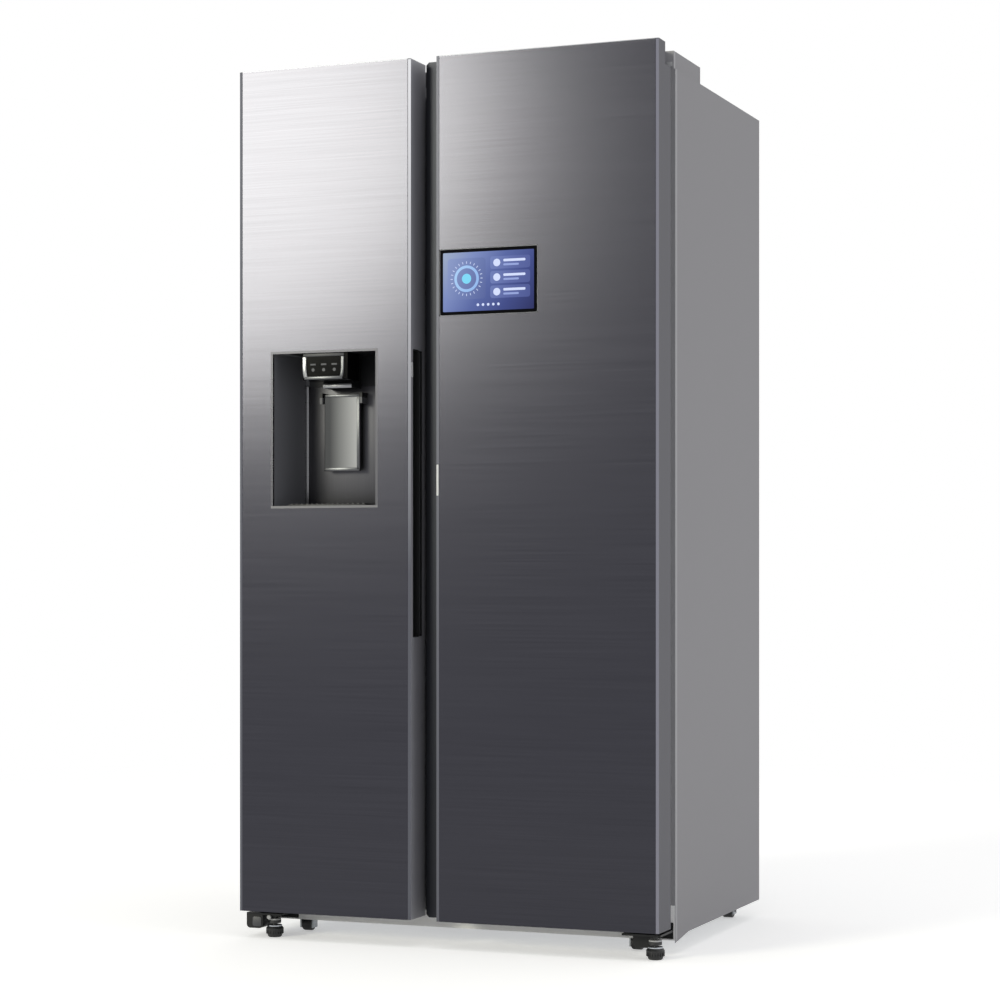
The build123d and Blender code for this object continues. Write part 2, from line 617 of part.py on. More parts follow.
def shoe(hinge_x, x, foot_x, housing_x, housing_y):
    """A lower hinge plate with its pin, the hole for the foot's stud and the rounded housing under it."""
    plate = (SHOE_TOP - SHOE_THICK, SHOE_TOP)
    piece = block(x, (HINGE_Y - SHOE_FRONT, CASE_FRONT), plate)
    tab = (SIDE_BOTTOM - SHOE_THICK, SHOE_TOP + SHOE_TAB)
    piece += block(x, (CASE_FRONT - SHOE_THICK / 2, CASE_FRONT), tab)
    housing = block(housing_x, housing_y, (HOUSING_BOTTOM, plate[0]))
    low = housing.edges().filter_by(Axis.Y).group_by(Axis.Z)[0]
    piece += fillet(low, HOUSING_ROUND)
    piece += rod_z(hinge_x, HINGE_Y, (plate[0], SHOE_TOP + PIN_REACH + SHOE_THICK), PIN_R)
    return piece - rod_z(foot_x, FOOT_Y, (plate[0] - OVER, plate[1] + OVER), STUD_R + RUN)


def lower_brackets():
    outer = SIDE - SHOE_INSET
    right_x = (outer - SHOE_WIDTH, outer)
    edge = FOOT_RIGHT_X - FOOT_R + HOUSING_CLEARANCE
    start = FOOT_Y + FOOT_R + HOUSING_CLEARANCE
    housing = (edge - HOUSING_WIDTH, edge)
    right = shoe(HINGE_X, right_x, FOOT_RIGHT_X, housing, (start, start + HOUSING_LENGTH))
    left_x = (-outer, -outer + SHOE_WIDTH)
    start = HINGE_Y - SHOE_FRONT
    housing = (-outer, -outer + HOUSING_WIDTH)
    left = shoe(-HINGE_X, left_x, FOOT_LEFT_X, housing, (start, start + HOUSING_LENGTH_LEFT))
    return [right, left]


def foot(x):
    """A levelling foot: a tapered sole, a lock nut and the stud through the hinge plate."""
    profile = [
        (0, 0),
        (FOOT_SOLE_R - FOOT_EDGE, 0),
        (FOOT_SOLE_R, FOOT_EDGE),
        (FOOT_R, FOOT_HEIGHT - FOOT_BAND),
        (FOOT_R - FOOT_CROWN, FOOT_HEIGHT),
        (0, FOOT_HEIGHT),
    ]
    sole = revolve(make_face(Plane.XZ * Polyline(*profile, close=True)), Axis.Z)
    stud = rod_z(0, 0, (FOOT_HEIGHT - OVER, STUD_TOP), STUD_R)
    nut = rod_z(0, 0, (NUT_Z, NUT_Z + NUT_HEIGHT), NUT_R)
    return Pos(x, FOOT_Y, 0) * (sole + stud + nut)


def roller(x, y, z, r):
    tyre = rod_x((x - ROLLER_WIDTH / 2, x + ROLLER_WIDTH / 2), y, z, r)
    tyre = chamfer(tyre.edges().filter_by(GeomType.CIRCLE), ROLLER_EDGE)
    return tyre - rod_x((x - ROLLER_WIDTH, x + ROLLER_WIDTH), y, z, AXLE_R + RUN)


def rear_rollers():
    """Two rollers on one axle across the back."""
    reach = REAR_ROLLER_X + ROLLER_WIDTH / 2 + ROLLER_SIDE_GAP + CHEEK + ROLLER_SIDE_GAP
    pair = rod_x((-reach, reach), REAR_ROLLER_Y, REAR_ROLLER_R, AXLE_R)
    for side in (-1, 1):
        x = side * REAR_ROLLER_X
        wide = (x - ROLLER_WIDTH / 2, x + ROLLER_WIDTH / 2)
        tyre = rod_x(wide, REAR_ROLLER_Y, REAR_ROLLER_R, REAR_ROLLER_R)
        pair += chamfer(tyre.edges().filter_by(GeomType.CIRCLE), ROLLER_EDGE)
    return pair


# ------------------------------------------------------------------ cooling parts
def air_slots(middle, face, levels):
    """Two air slots at each level of a duct panel, to be cut through its front wall."""
    slots = Part()
    for level in levels:
        for z in (level, level + 2 * SLOT_HEIGHT):
            wide = (middle - SLOT_WIDTH / 2, middle + SLOT_WIDTH / 2)
            slots += block(wide, (face - OVER, face + DUCT_WALL + OVER), (z, z + SLOT_HEIGHT))
    return slots


def freezer_duct_panel():
    x = (FREEZER_X[0] + FREEZER_DUCT_SIDE_GAP, FREEZER_X[1] - FREEZER_DUCT_SIDE_GAP)
    face = CAVITY_BACK - FREEZER_DUCT_DEPTH
    z = (STEP_Z + DUCT_TOP_GAP, CAVITY_TOP - DUCT_TOP_GAP)
    middle = sum(FREEZER_X) / 2
    panel = block(x, (face, face + DUCT_WALL), z)
    panel += block((x[0], x[0] + DUCT_WALL), (face, CAVITY_BACK), z)
    panel += block((x[1] - DUCT_WALL, x[1]), (face, CAVITY_BACK), z)
    panel -= air_slots(middle, face, SLOT_LEVELS[1:])
    panel -= rod_y(middle, (face - OVER, face + DUCT_WALL + OVER), FAN_LEVEL, FAN_OPENING_R)
    spider = guard(FAN_OPENING_R, DUCT_WALL, FAN_HUB_R, FAN_DEPTH)
    return panel + Pos(middle, face, FAN_LEVEL) * Rot(-90, 0, 0) * spider


def freezer_fan():
    middle = sum(FREEZER_X) / 2
    face = CAVITY_BACK - FREEZER_DUCT_DEPTH + DUCT_WALL + SLIDE_GAP
    wheel = rotor(FAN_HUB_R, FAN_OPENING_R - FAN_TIP_GAP, FAN_DEPTH, FAN_BLADES)
    return Pos(middle, face + FAN_DEPTH / 2, FAN_LEVEL) * Rot(-90, 0, 0) * wheel


def coil(x, y, z, fins):
    """A finned coil: tubes along X with upright fins across them."""
    piece = Part()
    for i in range(fins):
        at = x[0] + (x[1] - x[0] - FIN) * i / (fins - 1)
        piece += block((at, at + FIN), y, z)
    for j in range(TUBE_COLUMNS):
        tube_y = y[0] + (y[1] - y[0]) * (j + 0.5) / TUBE_COLUMNS
        for k in range(TUBE_ROWS):
            tube_z = z[0] + (z[1] - z[0]) * (k + 0.5) / TUBE_ROWS
            piece += rod_x((x[0] - TUBE_R, x[1] + TUBE_R), tube_y, tube_z, TUBE_R)
    return piece


def evaporator():
    inset = FREEZER_DUCT_SIDE_GAP + DUCT_WALL + TUBE_R * 3
    x = (FREEZER_X[0] + inset, FREEZER_X[1] - inset)
    y = (CAVITY_BACK - COIL_DEPTH, CAVITY_BACK)
    return coil(x, y, (COIL_BOTTOM, COIL_BOTTOM + COIL_HEIGHT), FIN_COUNT)


def fridge_duct_panel():
    middle = sum(FRIDGE_X) / 2
    x = (middle - FRIDGE_DUCT_WIDTH / 2, middle + FRIDGE_DUCT_WIDTH / 2)
    z = (STEP_Z + DUCT_TOP_GAP, CAVITY_TOP - DUCT_TOP_GAP)
    face = CAVITY_BACK - FRIDGE_DUCT_DEPTH
    panel = block(x, (face, CAVITY_BACK), z)
    room = (x[0] + DUCT_WALL, x[1] - DUCT_WALL)
    panel -= block(room, (face + DUCT_WALL, CAVITY_BACK), (z[0] + DUCT_WALL, z[1] - DUCT_WALL))
    return panel - air_slots(middle, face, SLOT_LEVELS)


def interior_lamps():
    lamps = []
    for x, kind in ((FREEZER_X, "freezer"), (FRIDGE_X, "fridge")):
        middle = sum(x) / 2
        y = SHELF_FRONT[kind] + LAMP_DEPTH
        cover = block(
            (middle - LAMP_WIDTH / 2, middle + LAMP_WIDTH / 2),
            (y, y + LAMP_DEPTH),
            (CAVITY_TOP - LAMP_THICK, CAVITY_TOP),
        )
        lamps.append(chamfer(cover.faces().sort_by(Axis.Z)[0].edges(), LAMP_EDGE))
    return lamps


def compressor():
    bottom = TRAY_TOP + COMPRESSOR_FOOT_HEIGHT
    shell = rod_z(COMPRESSOR_X, MACHINE_MID, (bottom, bottom + COMPRESSOR_HEIGHT), COMPRESSOR_R)
    shell = fillet(shell.edges().filter_by(GeomType.CIRCLE), COMPRESSOR_ROUND)
    reach = COMPRESSOR_R - COMPRESSOR_FOOT_R
    spread = COMPRESSOR_R + COMPRESSOR_FOOT_R
    plate = block(
        (COMPRESSOR_X - spread - COMPRESSOR_FOOT_R, COMPRESSOR_X + spread + COMPRESSOR_FOOT_R),
        (MACHINE_MID - COMPRESSOR_R, MACHINE_MID + COMPRESSOR_R),
        (bottom, bottom + TRAY_SHEET),
    )
    shell += plate
    for sx in (-1, 1):
        for sy in (-1, 1):
            x, y = COMPRESSOR_X + sx * spread, MACHINE_MID + sy * reach
            shell += rod_z(x, y, (TRAY_TOP, bottom + TRAY_SHEET * 2), COMPRESSOR_FOOT_R)
    box_x = (COMPRESSOR_X - COMPRESSOR_R - TERMINAL_BOX / 2, COMPRESSOR_X - COMPRESSOR_R + TERMINAL_BOX / 2)
    box_y = (MACHINE_MID - TERMINAL_BOX, MACHINE_MID + TERMINAL_BOX)
    middle = bottom + COMPRESSOR_HEIGHT / 2
    return shell + block(box_x, box_y, (middle - TERMINAL_BOX / 2, middle + TERMINAL_BOX / 2))


def condenser():
    x = (CONDENSER_X, CONDENSER_X + CONDENSER_LENGTH)
    y = (MACHINE_MID - CONDENSER_WIDTH / 2, MACHINE_MID + CONDENSER_WIDTH / 2)
    return coil(x, y, (TRAY_TOP, TRAY_TOP + CONDENSER_HEIGHT), CONDENSER_FINS)


def fan_shroud():
    x = (SHROUD_X, SHROUD_X + DUCT_WALL)
    y = (MACHINE_Y + MACHINE_COVER_GAP, PANEL_Y - SCREW_LENGTH - MACHINE_COVER_GAP)
    plate = block(x, y, (TRAY_TOP, MACHINE_TOP - MACHINE_COVER_GAP))
    opening = CONDENSER_FAN_R + FAN_TIP_GAP
    plate -= rod_x((x[0] - OVER, x[1] + OVER), MACHINE_MID, CONDENSER_MID_Z, opening)
    spider = guard(opening, DUCT_WALL, FAN_HUB_R, FAN_DEPTH)
    return plate + Pos(x[0], MACHINE_MID, CONDENSER_MID_Z) * Rot(0, 90, 0) * spider


def condenser_fan():
    wheel = rotor(FAN_HUB_R, CONDENSER_FAN_R, FAN_DEPTH, FAN_BLADES)
    face = SHROUD_X + DUCT_WALL + SLIDE_GAP
    return Pos(face + FAN_DEPTH / 2, MACHINE_MID, CONDENSER_MID_Z) * Rot(0, 90, 0) * wheel


# ------------------------------------------------------------------ shelves and drawers
def shelf(x, kind, level):
    y = (SHELF_FRONT[kind] + SHELF_TRIM_DEPTH, SHELF_BACK[kind])
    return block((x[0] + SHELF_SIDE_GAP, x[1] - SHELF_SIDE_GAP), y, (level, level + GLASS))


def shelf_trim(x, kind, level):
    y = (SHELF_FRONT[kind], SHELF_FRONT[kind] + SHELF_TRIM_DEPTH)
    top = level + GLASS + SHELF_TRIM_RISE
    bar = block((x[0] + SHELF_SIDE_GAP, x[1] - SHELF_SIDE_GAP), y, (top - SHELF_TRIM_HEIGHT, top))
    return chamfer(bar.faces().sort_by(Axis.Y)[0].edges().filter_by(Axis.X), SHELF_TRIM_EDGE)


def drawer(x, kind, bottom, top, back):
    """An open-topped drawer with a grip along the top of its front."""
    left, right = drawer_gaps(kind)
    side = (x[0] + left, x[1] - right)
    front = SHELF_FRONT[kind] + DRAWER_SETBACK
    box = tub(side, (front, back), (bottom, top), DRAWER_WALL)
    grip = block(side, (front - DRAWER_GRIP, front + OVER), (top - DRAWER_GRIP_HEIGHT, top))
    under = (top - DRAWER_GRIP_HEIGHT - OVER, top - DRAWER_WALL)
    grip -= block(side, (front - DRAWER_GRIP + DRAWER_WALL, front), under)
    return box + grip


def drawer_pair(x, kind):
    lower = drawer(
        x, kind, CAVITY_FLOOR + SLIDE_GAP, DRAWER_SPLIT - LEDGE_THICK - SLIDE_GAP, STEP_Y - LEDGE_THICK
    )
    back = SHELF_BACK[kind] - DRAWER_BACK_GAP
    top = SHELF_LEVELS[0] - LEDGE_THICK - DRAWER_HEAD_GAP
    return lower, drawer(x, kind, DRAWER_SPLIT + SLIDE_GAP, top, back)


# ------------------------------------------------------------------ doors
def door_outline(x, inset, back):
    """Plan of a door shell with its two front edges bevelled, drawn in by the sheet's thickness or more."""
    left, right, front = x[0] + inset, x[1] - inset, FRONT + inset
    return [
        (left, front + EDGE_DROP),
        (left + EDGE_BEVEL, front),
        (right - EDGE_BEVEL, front),
        (right, front + EDGE_DROP),
        (right, back),
        (left, back),
    ]


def hinge_side(x):
    """-1 for the freezer door, hinged on its left, and 1 for the fridge door."""
    return -1 if x == FREEZER_DOOR else 1


def notch(x, grow=0.0):
    """Room for the hinge arm, at the top of the door's hinge side."""
    side = hinge_side(x)
    ends = sorted((side * (SIDE + OVER), side * (SIDE - NOTCH_LENGTH - grow)))
    return block(ends, (NOTCH_Y - grow, CASE_FRONT), (NOTCH_Z - grow, DOOR_TOP + OVER))


def door_skin(x):
    outside = prism_z(door_outline(x, 0, DOOR_BACK), (DOOR_BOTTOM, DOOR_TOP))
    inside = prism_z(door_outline(x, SHEET, DOOR_BACK + OVER), (DOOR_BOTTOM - OVER, DOOR_TOP + OVER))
    return outside - inside - notch(x)


def bush_places():
    return ((DOOR_BOTTOM, DOOR_BOTTOM + BUSH_LENGTH), (NOTCH_Z - BUSH_LENGTH, NOTCH_Z))


def door_caps(x):
    """Bottom and top caps, each with the bush that the hinge pin turns in."""
    hinge_x = hinge_side(x) * HINGE_X
    outline = door_outline(x, SHEET, DOOR_BACK)
    bottom = prism_z(outline, (DOOR_BOTTOM, DOOR_BOTTOM + CAP))
    top = prism_z(outline, (DOOR_TOP - CAP, DOOR_TOP))
    corner = prism_z(outline, (NOTCH_Z - CAP, DOOR_TOP)) & notch(x, CAP)
    top = top + corner - notch(x)
    low, high = bush_places()
    bottom += rod_z(hinge_x, HINGE_Y, low, BUSH_R)
    bottom -= rod_z(hinge_x, HINGE_Y, (DOOR_BOTTOM - OVER, DOOR_BOTTOM + BUSH_BORE), PIN_R + RUN)
    top += rod_z(hinge_x, HINGE_Y, high, BUSH_R)
    top -= rod_z(hinge_x, HINGE_Y, (NOTCH_Z - BUSH_BORE, NOTCH_Z + OVER), PIN_R + RUN)
    return bottom, top


def door_core(x, pan):
    """Foam between the skin and the inner panel."""
    core = prism_z(door_outline(x, SHEET, DOOR_BACK), (DOOR_BOTTOM + CAP, DOOR_TOP - CAP)) - notch(x, CAP)
    inside = (pan[0] + LINER, pan[1] - LINER)
    inside = (max(inside[0], x[0] + SHEET), inside[1])
    core += block(inside, (DOOR_BACK, PAN_BACK - LINER), (PAN_Z[0] + LINER, PAN_Z[1] - LINER))
    hinge_x = hinge_side(x) * HINGE_X
    square = (hinge_x - BUSH_R, hinge_x + BUSH_R), (HINGE_Y - BUSH_R, HINGE_Y + BUSH_R)
    for z in bush_places():
        core -= block(*square, z)
    return core


def door_liner(x, pan, dykes, dyke_back):
    """Inner plate, raised panel and the two ribs that hold the bins."""
    edge = (min(x[0], pan[0]) + SHEET, max(x[1], pan[1]) - SHEET)
    plate = block(edge, (DOOR_BACK, PLATE_BACK), (DOOR_BOTTOM, DOOR_TOP)) - notch(x)
    panel = plate + block(pan, (DOOR_BACK, PAN_BACK), PAN_Z)
    hollow = (pan[0] + LINER, pan[1] - LINER)
    hollow = (max(hollow[0], x[0] + SHEET), hollow[1])
    panel -= block(hollow, (DOOR_BACK, PAN_BACK - LINER), (PAN_Z[0] + LINER, PAN_Z[1] - LINER))
    z = (CAVITY_FLOOR + DYKE_DROP, CAVITY_TOP - DYKE_DROP)
    for rib in ((dykes[0], dykes[0] + DYKE), (dykes[1] - DYKE, dykes[1])):
        panel += block(rib, (PAN_BACK - LINER / 2, dyke_back), z)
    return panel


def door_gasket(pan):
    x = (pan[0] + GASKET_EDGE, pan[1] - GASKET_EDGE)
    z = (PAN_Z[0] + GASKET_EDGE, PAN_Z[1] - GASKET_EDGE)
    return ring(x, (PAN_BACK, GASKET_BACK), z, GASKET)


def door_bin(dykes, level, depth):
    """A door bin that hangs between the two ribs."""
    x = (dykes[0] + DYKE, dykes[1] - DYKE)
    return tub(x, (PAN_BACK, DOOR_BACK + depth), (level, level + BIN_HEIGHT), BIN_WALL)


# ------------------------------------------------------------------ dispenser
def recess_outline(grow):
    """Plan of the recess, whose side walls close in towards its back."""
    front, back = FRONT + TRIM_DEPTH, FRONT + RECESS_DEPTH + grow
    left, right = RECESS_X[0] - grow, RECESS_X[1] + grow
    return [(left, front), (right, front), (right - RECESS_TAPER, back), (left + RECESS_TAPER, back)]


def chute_duct(inset):
    """The slanted duct from the ice bucket to the recess."""
    mouth = RECESS_TOP - CHUTE_DROP
    front = FRONT + CHUTE_SETBACK
    over = OVER if inset else 0
    points = [
        (front + CHUTE_SLANT + inset, BULGE_TOP + over),
        (front + CHUTE_SLANT + CHUTE_OPENING - inset, BULGE_TOP + over),
        (front + CHUTE_OPENING - inset, mouth - over),
        (front + inset, mouth - over),
    ]
    half = CHUTE_WIDTH / 2 - inset
    return prism_x(points, (RECESS_MID - half, RECESS_MID + half))


def dispenser_housing():
    outside = prism_z(recess_outline(TUB_WALL), (RECESS_BOTTOM - TUB_WALL, RECESS_TOP + TUB_WALL))
    shell = outside - prism_z(recess_outline(0), (RECESS_BOTTOM, RECESS_TOP))
    shell -= chute_duct(0)
    lug_y = (LEVER_AXIS[0] - LUG_NOSE, FRONT + RECESS_DEPTH + TUB_WALL)
    lug_z = (LEVER_AXIS[1] - LUG_HALF, LEVER_AXIS[1] + LUG_HALF)
    left = (LEVER_X[0] - LUG_GAP - LUG_WIDTH, LEVER_X[0] - LUG_GAP)
    right = (LEVER_X[1] + LUG_GAP, LEVER_X[1] + LUG_GAP + LUG_WIDTH)
    shell += block(left, lug_y, lug_z) + block(right, lug_y, lug_z)
    return shell - rod_x((left[0] - OVER, right[1] + OVER), *LEVER_AXIS, LEVER_PIN_R + RUN)


def trim_box(y):
    """Outer limits of the frame round the recess."""
    x = (RECESS_X[0] - TRIM_WIDTH, RECESS_X[1] + TRIM_WIDTH)
    return x, y, (RECESS_BOTTOM - TRIM_WIDTH, RECESS_TOP + TRIM_WIDTH)


def dispenser_panel():
    x = (RECESS_MID - PANEL_WIDTH / 2, RECESS_MID + PANEL_WIDTH / 2)
    y = (FRONT + PANEL_SETBACK, FRONT + PANEL_SETBACK + PANEL_DEPTH)
    body = block(x, y, (RECESS_TOP - PANEL_HEIGHT, RECESS_TOP))
    low = body.faces().sort_by(Axis.Z)[0].edges().filter_by(Axis.X)
    return chamfer(low, PANEL_EDGE)


def dispenser_lever():
    paddle = block(LEVER_X, (LEVER_Y, LEVER_Y + LEVER_THICK), (LEVER_TOP - LEVER_HEIGHT, LEVER_TOP))
    paddle = fillet(paddle.faces().sort_by(Axis.Y)[0].edges(), LEVER_EDGE)
    reach = LUG_GAP + LUG_WIDTH - OVER
    return paddle + rod_x((LEVER_X[0] - reach, LEVER_X[1] + reach), *LEVER_AXIS, LEVER_PIN_R)


def ice_bucket():
    """Open-topped ice bucket that stands on the bulge, with an outlet over the chute."""
    x = (BULGE_X[0], BULGE_X[1] - BUCKET_INSET)
    box = tub(x, (PAN_BACK, DOOR_BACK + BUCKET_DEPTH), (BULGE_TOP, BULGE_TOP + BUCKET_HEIGHT), BIN_WALL)
    half = CHUTE_WIDTH / 2 - CHUTE_WALL
    front = FRONT + CHUTE_SETBACK + CHUTE_SLANT
    outlet_y = (front + CHUTE_WALL, front + CHUTE_OPENING - CHUTE_WALL)
    outlet_z = (BULGE_TOP - OVER, BULGE_TOP + BIN_WALL + OVER)
    return box - block((RECESS_MID - half, RECESS_MID + half), outlet_y, outlet_z)


def ice_maker():
    x = (BULGE_X[0] + BUCKET_INSET, BULGE_X[1] - BUCKET_INSET)
    body = block(x, (PAN_BACK, DOOR_BACK + MAKER_DEPTH), (MAKER_BOTTOM, MAKER_BOTTOM + MAKER_HEIGHT))
    return fillet(body.faces().sort_by(Axis.Y)[-1].edges(), MAKER_ROUND)


def pocket_box(grow):
    edge = FREEZER_DOOR[1]
    y = FRONT + POCKET_SETBACK
    return (
        (edge - POCKET_DEPTH - grow, edge),
        (y - grow, y + POCKET_WIDTH + grow),
        (POCKET_BOTTOM - grow, POCKET_BOTTOM + POCKET_HEIGHT + grow),
    )


def handle_pocket():
    """The finger pocket in the freezer door's free side, with a raised lip behind it."""
    shell = block(*pocket_box(POCKET_WALL)) - block(*pocket_box(0))
    edge = FREEZER_DOOR[1]
    y = FRONT + POCKET_SETBACK + POCKET_WIDTH
    z = (POCKET_BOTTOM, POCKET_BOTTOM + POCKET_HEIGHT)
    return shell + block((edge, edge + POCKET_LIP_RISE), (y, y + POCKET_LIP), z)


# ------------------------------------------------------------------ the two doors
def freezer_door_parts():
    trim_outside = block(*trim_box((FRONT, FRONT + TRIM_DEPTH)))
    tub_outside = prism_z(recess_outline(TUB_WALL), (RECESS_BOTTOM - TUB_WALL, RECESS_TOP + TUB_WALL))
    pocket = block(*pocket_box(POCKET_WALL))
    bulge = block(BULGE_X, (PAN_BACK - LINER, BULGE_Y), (BULGE_BOTTOM, BULGE_TOP))
    bulge_room = block(
        (BULGE_X[0] + LINER, BULGE_X[1] - LINER),
        (PAN_BACK - LINER, BULGE_Y - LINER),
        (BULGE_BOTTOM + LINER, BULGE_TOP - LINER),
    )
    core = door_core(FREEZER_DOOR, FREEZER_PAN) + bulge_room
    core = core - trim_outside - tub_outside - pocket - chute_duct(0)
    panel = door_liner(FREEZER_DOOR, FREEZER_PAN, FREEZER_DYKES, DOOR_BACK + FREEZER_BIN_DEPTH)
    panel = panel + bulge - bulge_room - tub_outside - chute_duct(0)
    inner = block(RECESS_X, (FRONT - OVER, FRONT + TRIM_DEPTH + OVER), (RECESS_BOTTOM, RECESS_TOP))
    save("freezer_door_skin", door_skin(FREEZER_DOOR) - trim_outside - pocket)
    save("freezer_door_core", core)
    save("freezer_door_liner", panel)
    save("freezer_door_gasket", door_gasket(FREEZER_PAN))
    save("freezer_door_caps", *door_caps(FREEZER_DOOR))
    save("dispenser_trim", trim_outside - inner)
    save("dispenser_housing", dispenser_housing())
    save("dispenser_panel", dispenser_panel())
    save("dispenser_lever", dispenser_lever())
    save("ice_chute", chute_duct(0) - chute_duct(CHUTE_WALL))
    save("ice_bucket", ice_bucket())
    save("ice_maker", ice_maker())
    save("handle_pocket", handle_pocket())
    bins = [door_bin(FREEZER_DYKES, level, FREEZER_BIN_DEPTH) for level in FREEZER_BIN_LEVELS]
    save("freezer_bins", *bins)


def grip_rail():
    """The rail behind the hand gap, along the fridge door's free side."""
    z = (DOOR_BOTTOM, DOOR_TOP)
    rail = block((GRIP_X, FRIDGE_DOOR[0]), (FRONT + GRIP_SETBACK, DOOR_BACK), z)
    ends = rail.edges().filter_by(Axis.Y).group_by(Axis.X)[0]
    return chamfer(ends, GRIP_BEVEL)


def screen_box():
    """Limits of the display, flush with the door's front."""
    x = FRIDGE_DOOR[0] + SCREEN_LEFT
    z = (SCREEN_BOTTOM, SCREEN_BOTTOM + SCREEN_HEIGHT)
    return (x, x + SCREEN_WIDTH), (FRONT, FRONT + SCREEN_DEPTH), z


def dairy_cover():
    """Lid of the dairy bin, which turns on two pins in the ribs."""
    x = (FRIDGE_DYKES[0] + DYKE + LID_SIDE_GAP, FRIDGE_DYKES[1] - DYKE - LID_SIDE_GAP)
    bottom = LID_AXIS[1] - LID_THICK / 2
    back = DOOR_BACK + FRIDGE_BIN_DEPTH + LID_RISE + LID_THICK
    lid = block(x, (LID_EDGE, back), (bottom, bottom + LID_THICK))
    lid += block(x, (back - LID_THICK, back), (bottom - LID_LIP, bottom + LID_THICK))
    reach = LID_SIDE_GAP + LID_PIN_REACH
    return lid + rod_x((x[0] - reach, x[1] + reach), *LID_AXIS, LID_PIN_R)


def fridge_door_parts():
    screen = block(*screen_box())
    panel = door_liner(FRIDGE_DOOR, FRIDGE_PAN, FRIDGE_DYKES, DOOR_BACK + FRIDGE_BIN_DEPTH)
    reach = LID_PIN_REACH + OVER
    pins = (FRIDGE_DYKES[0] + DYKE - reach, FRIDGE_DYKES[1] - DYKE + reach)
    panel -= rod_x(pins, *LID_AXIS, LID_PIN_R + RUN)
    save("fridge_door_skin", door_skin(FRIDGE_DOOR) - screen)
    save("fridge_door_core", door_core(FRIDGE_DOOR, FRIDGE_PAN) - screen)
    save("fridge_door_liner", panel)
    save("fridge_door_gasket", door_gasket(FRIDGE_PAN))
    save("fridge_door_caps", *door_caps(FRIDGE_DOOR))
    save("fridge_grip_rail", grip_rail())
    save("touch_display", screen)
    save("fridge_bins", *[door_bin(FRIDGE_DYKES, level, FRIDGE_BIN_DEPTH) for level in FRIDGE_BIN_LEVELS])
    save("dairy_cover", dairy_cover())


# ------------------------------------------------------------------ the whole machine
def cabinet_parts():
    save("outer_case", outer_case())
    save("back_panel", back_panel())
    save("foam_insulation", foam_insulation())
    save("freezer_liner", liner(FREEZER_X, "freezer"))
    save("fridge_liner", liner(FRIDGE_X, "fridge"))
    save("base_frame", base_frame())
    save("front_rail", front_rail())
    save("machine_cover", machine_cover())
    save("case_screws", *case_screws())
    save("hinge_brackets", upper_bracket(), mirrored(upper_bracket()), *lower_brackets())
    save("hinge_covers", hinge_cover(), mirrored(hinge_cover()))
    save("compressor", compressor())
    save("condenser", condenser())
    save("fan_shroud", fan_shroud())
    save("condenser_fan", condenser_fan())
    save("freezer_duct_panel", freezer_duct_panel())
    save("freezer_fan", freezer_fan())
    save("evaporator", evaporator())
    save("fridge_duct_panel", fridge_duct_panel())
    save("interior_lamps", *interior_lamps())


def storage_parts():
    trims = []
    for x, kind, count in ((FREEZER_X, "freezer", FREEZER_SHELVES), (FRIDGE_X, "fridge", FRIDGE_SHELVES)):
        for i, level in enumerate(SHELF_LEVELS[:count], 1):
            save(f"{kind}_shelf_{i}", shelf(x, kind, level))
            trims.append(shelf_trim(x, kind, level))
    save("shelf_trims", *trims)
    lower, upper = drawer_pair(FREEZER_X, "freezer")
    save("freezer_drawer_lower", lower)
    save("freezer_drawer_upper", upper)
    lower, upper = drawer_pair(FRIDGE_X, "fridge")
    save("crisper_lower", lower)
    save("crisper_upper", upper)


def undercarriage_parts():
    save("front_foot_left", foot(FOOT_LEFT_X))
    save("front_foot_right", foot(FOOT_RIGHT_X))
    save("front_roller_left", roller(-FRONT_ROLLER_X, FRONT_ROLLER_Y, FRONT_ROLLER_Z, FRONT_ROLLER_R))
    save("front_roller_right", roller(FRONT_ROLLER_X, FRONT_ROLLER_Y, FRONT_ROLLER_Z, FRONT_ROLLER_R))
    save("rear_rollers", rear_rollers())


cabinet_parts()
storage_parts()
undercarriage_parts()
freezer_door_parts()
fridge_door_parts()
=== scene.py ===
"""Side by side refrigerator: its finishes, small pieces, camera and lights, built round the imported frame.

Sizes are millimetres. A mesh is made in millimetres and scaled to metres once, when its piece is placed.
The studio round it is in metres.
"""

from __future__ import annotations

import json
import logging
import math
from dataclasses import dataclass, replace
from enum import Enum

import bmesh
import bpy
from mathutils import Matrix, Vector

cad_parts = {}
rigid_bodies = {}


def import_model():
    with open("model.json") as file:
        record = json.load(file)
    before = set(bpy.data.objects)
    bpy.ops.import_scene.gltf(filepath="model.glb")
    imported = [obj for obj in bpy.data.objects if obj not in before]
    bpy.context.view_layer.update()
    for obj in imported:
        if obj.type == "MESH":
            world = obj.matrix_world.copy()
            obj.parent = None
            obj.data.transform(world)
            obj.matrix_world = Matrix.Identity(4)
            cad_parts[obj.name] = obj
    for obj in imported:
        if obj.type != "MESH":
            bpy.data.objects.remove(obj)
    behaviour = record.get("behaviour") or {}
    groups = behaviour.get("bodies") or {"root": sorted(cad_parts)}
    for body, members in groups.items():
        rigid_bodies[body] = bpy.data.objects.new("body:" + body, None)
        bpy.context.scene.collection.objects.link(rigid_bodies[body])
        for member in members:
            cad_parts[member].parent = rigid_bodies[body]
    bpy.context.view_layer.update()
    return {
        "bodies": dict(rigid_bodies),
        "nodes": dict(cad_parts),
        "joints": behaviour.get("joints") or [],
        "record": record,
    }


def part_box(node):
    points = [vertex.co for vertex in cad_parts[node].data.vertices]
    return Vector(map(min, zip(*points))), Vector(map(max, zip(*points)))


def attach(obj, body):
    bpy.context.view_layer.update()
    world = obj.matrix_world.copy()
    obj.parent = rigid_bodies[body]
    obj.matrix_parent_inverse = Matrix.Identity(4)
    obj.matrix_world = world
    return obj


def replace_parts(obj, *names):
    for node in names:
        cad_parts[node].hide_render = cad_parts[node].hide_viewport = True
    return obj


LOG = logging.getLogger("refrigerator")
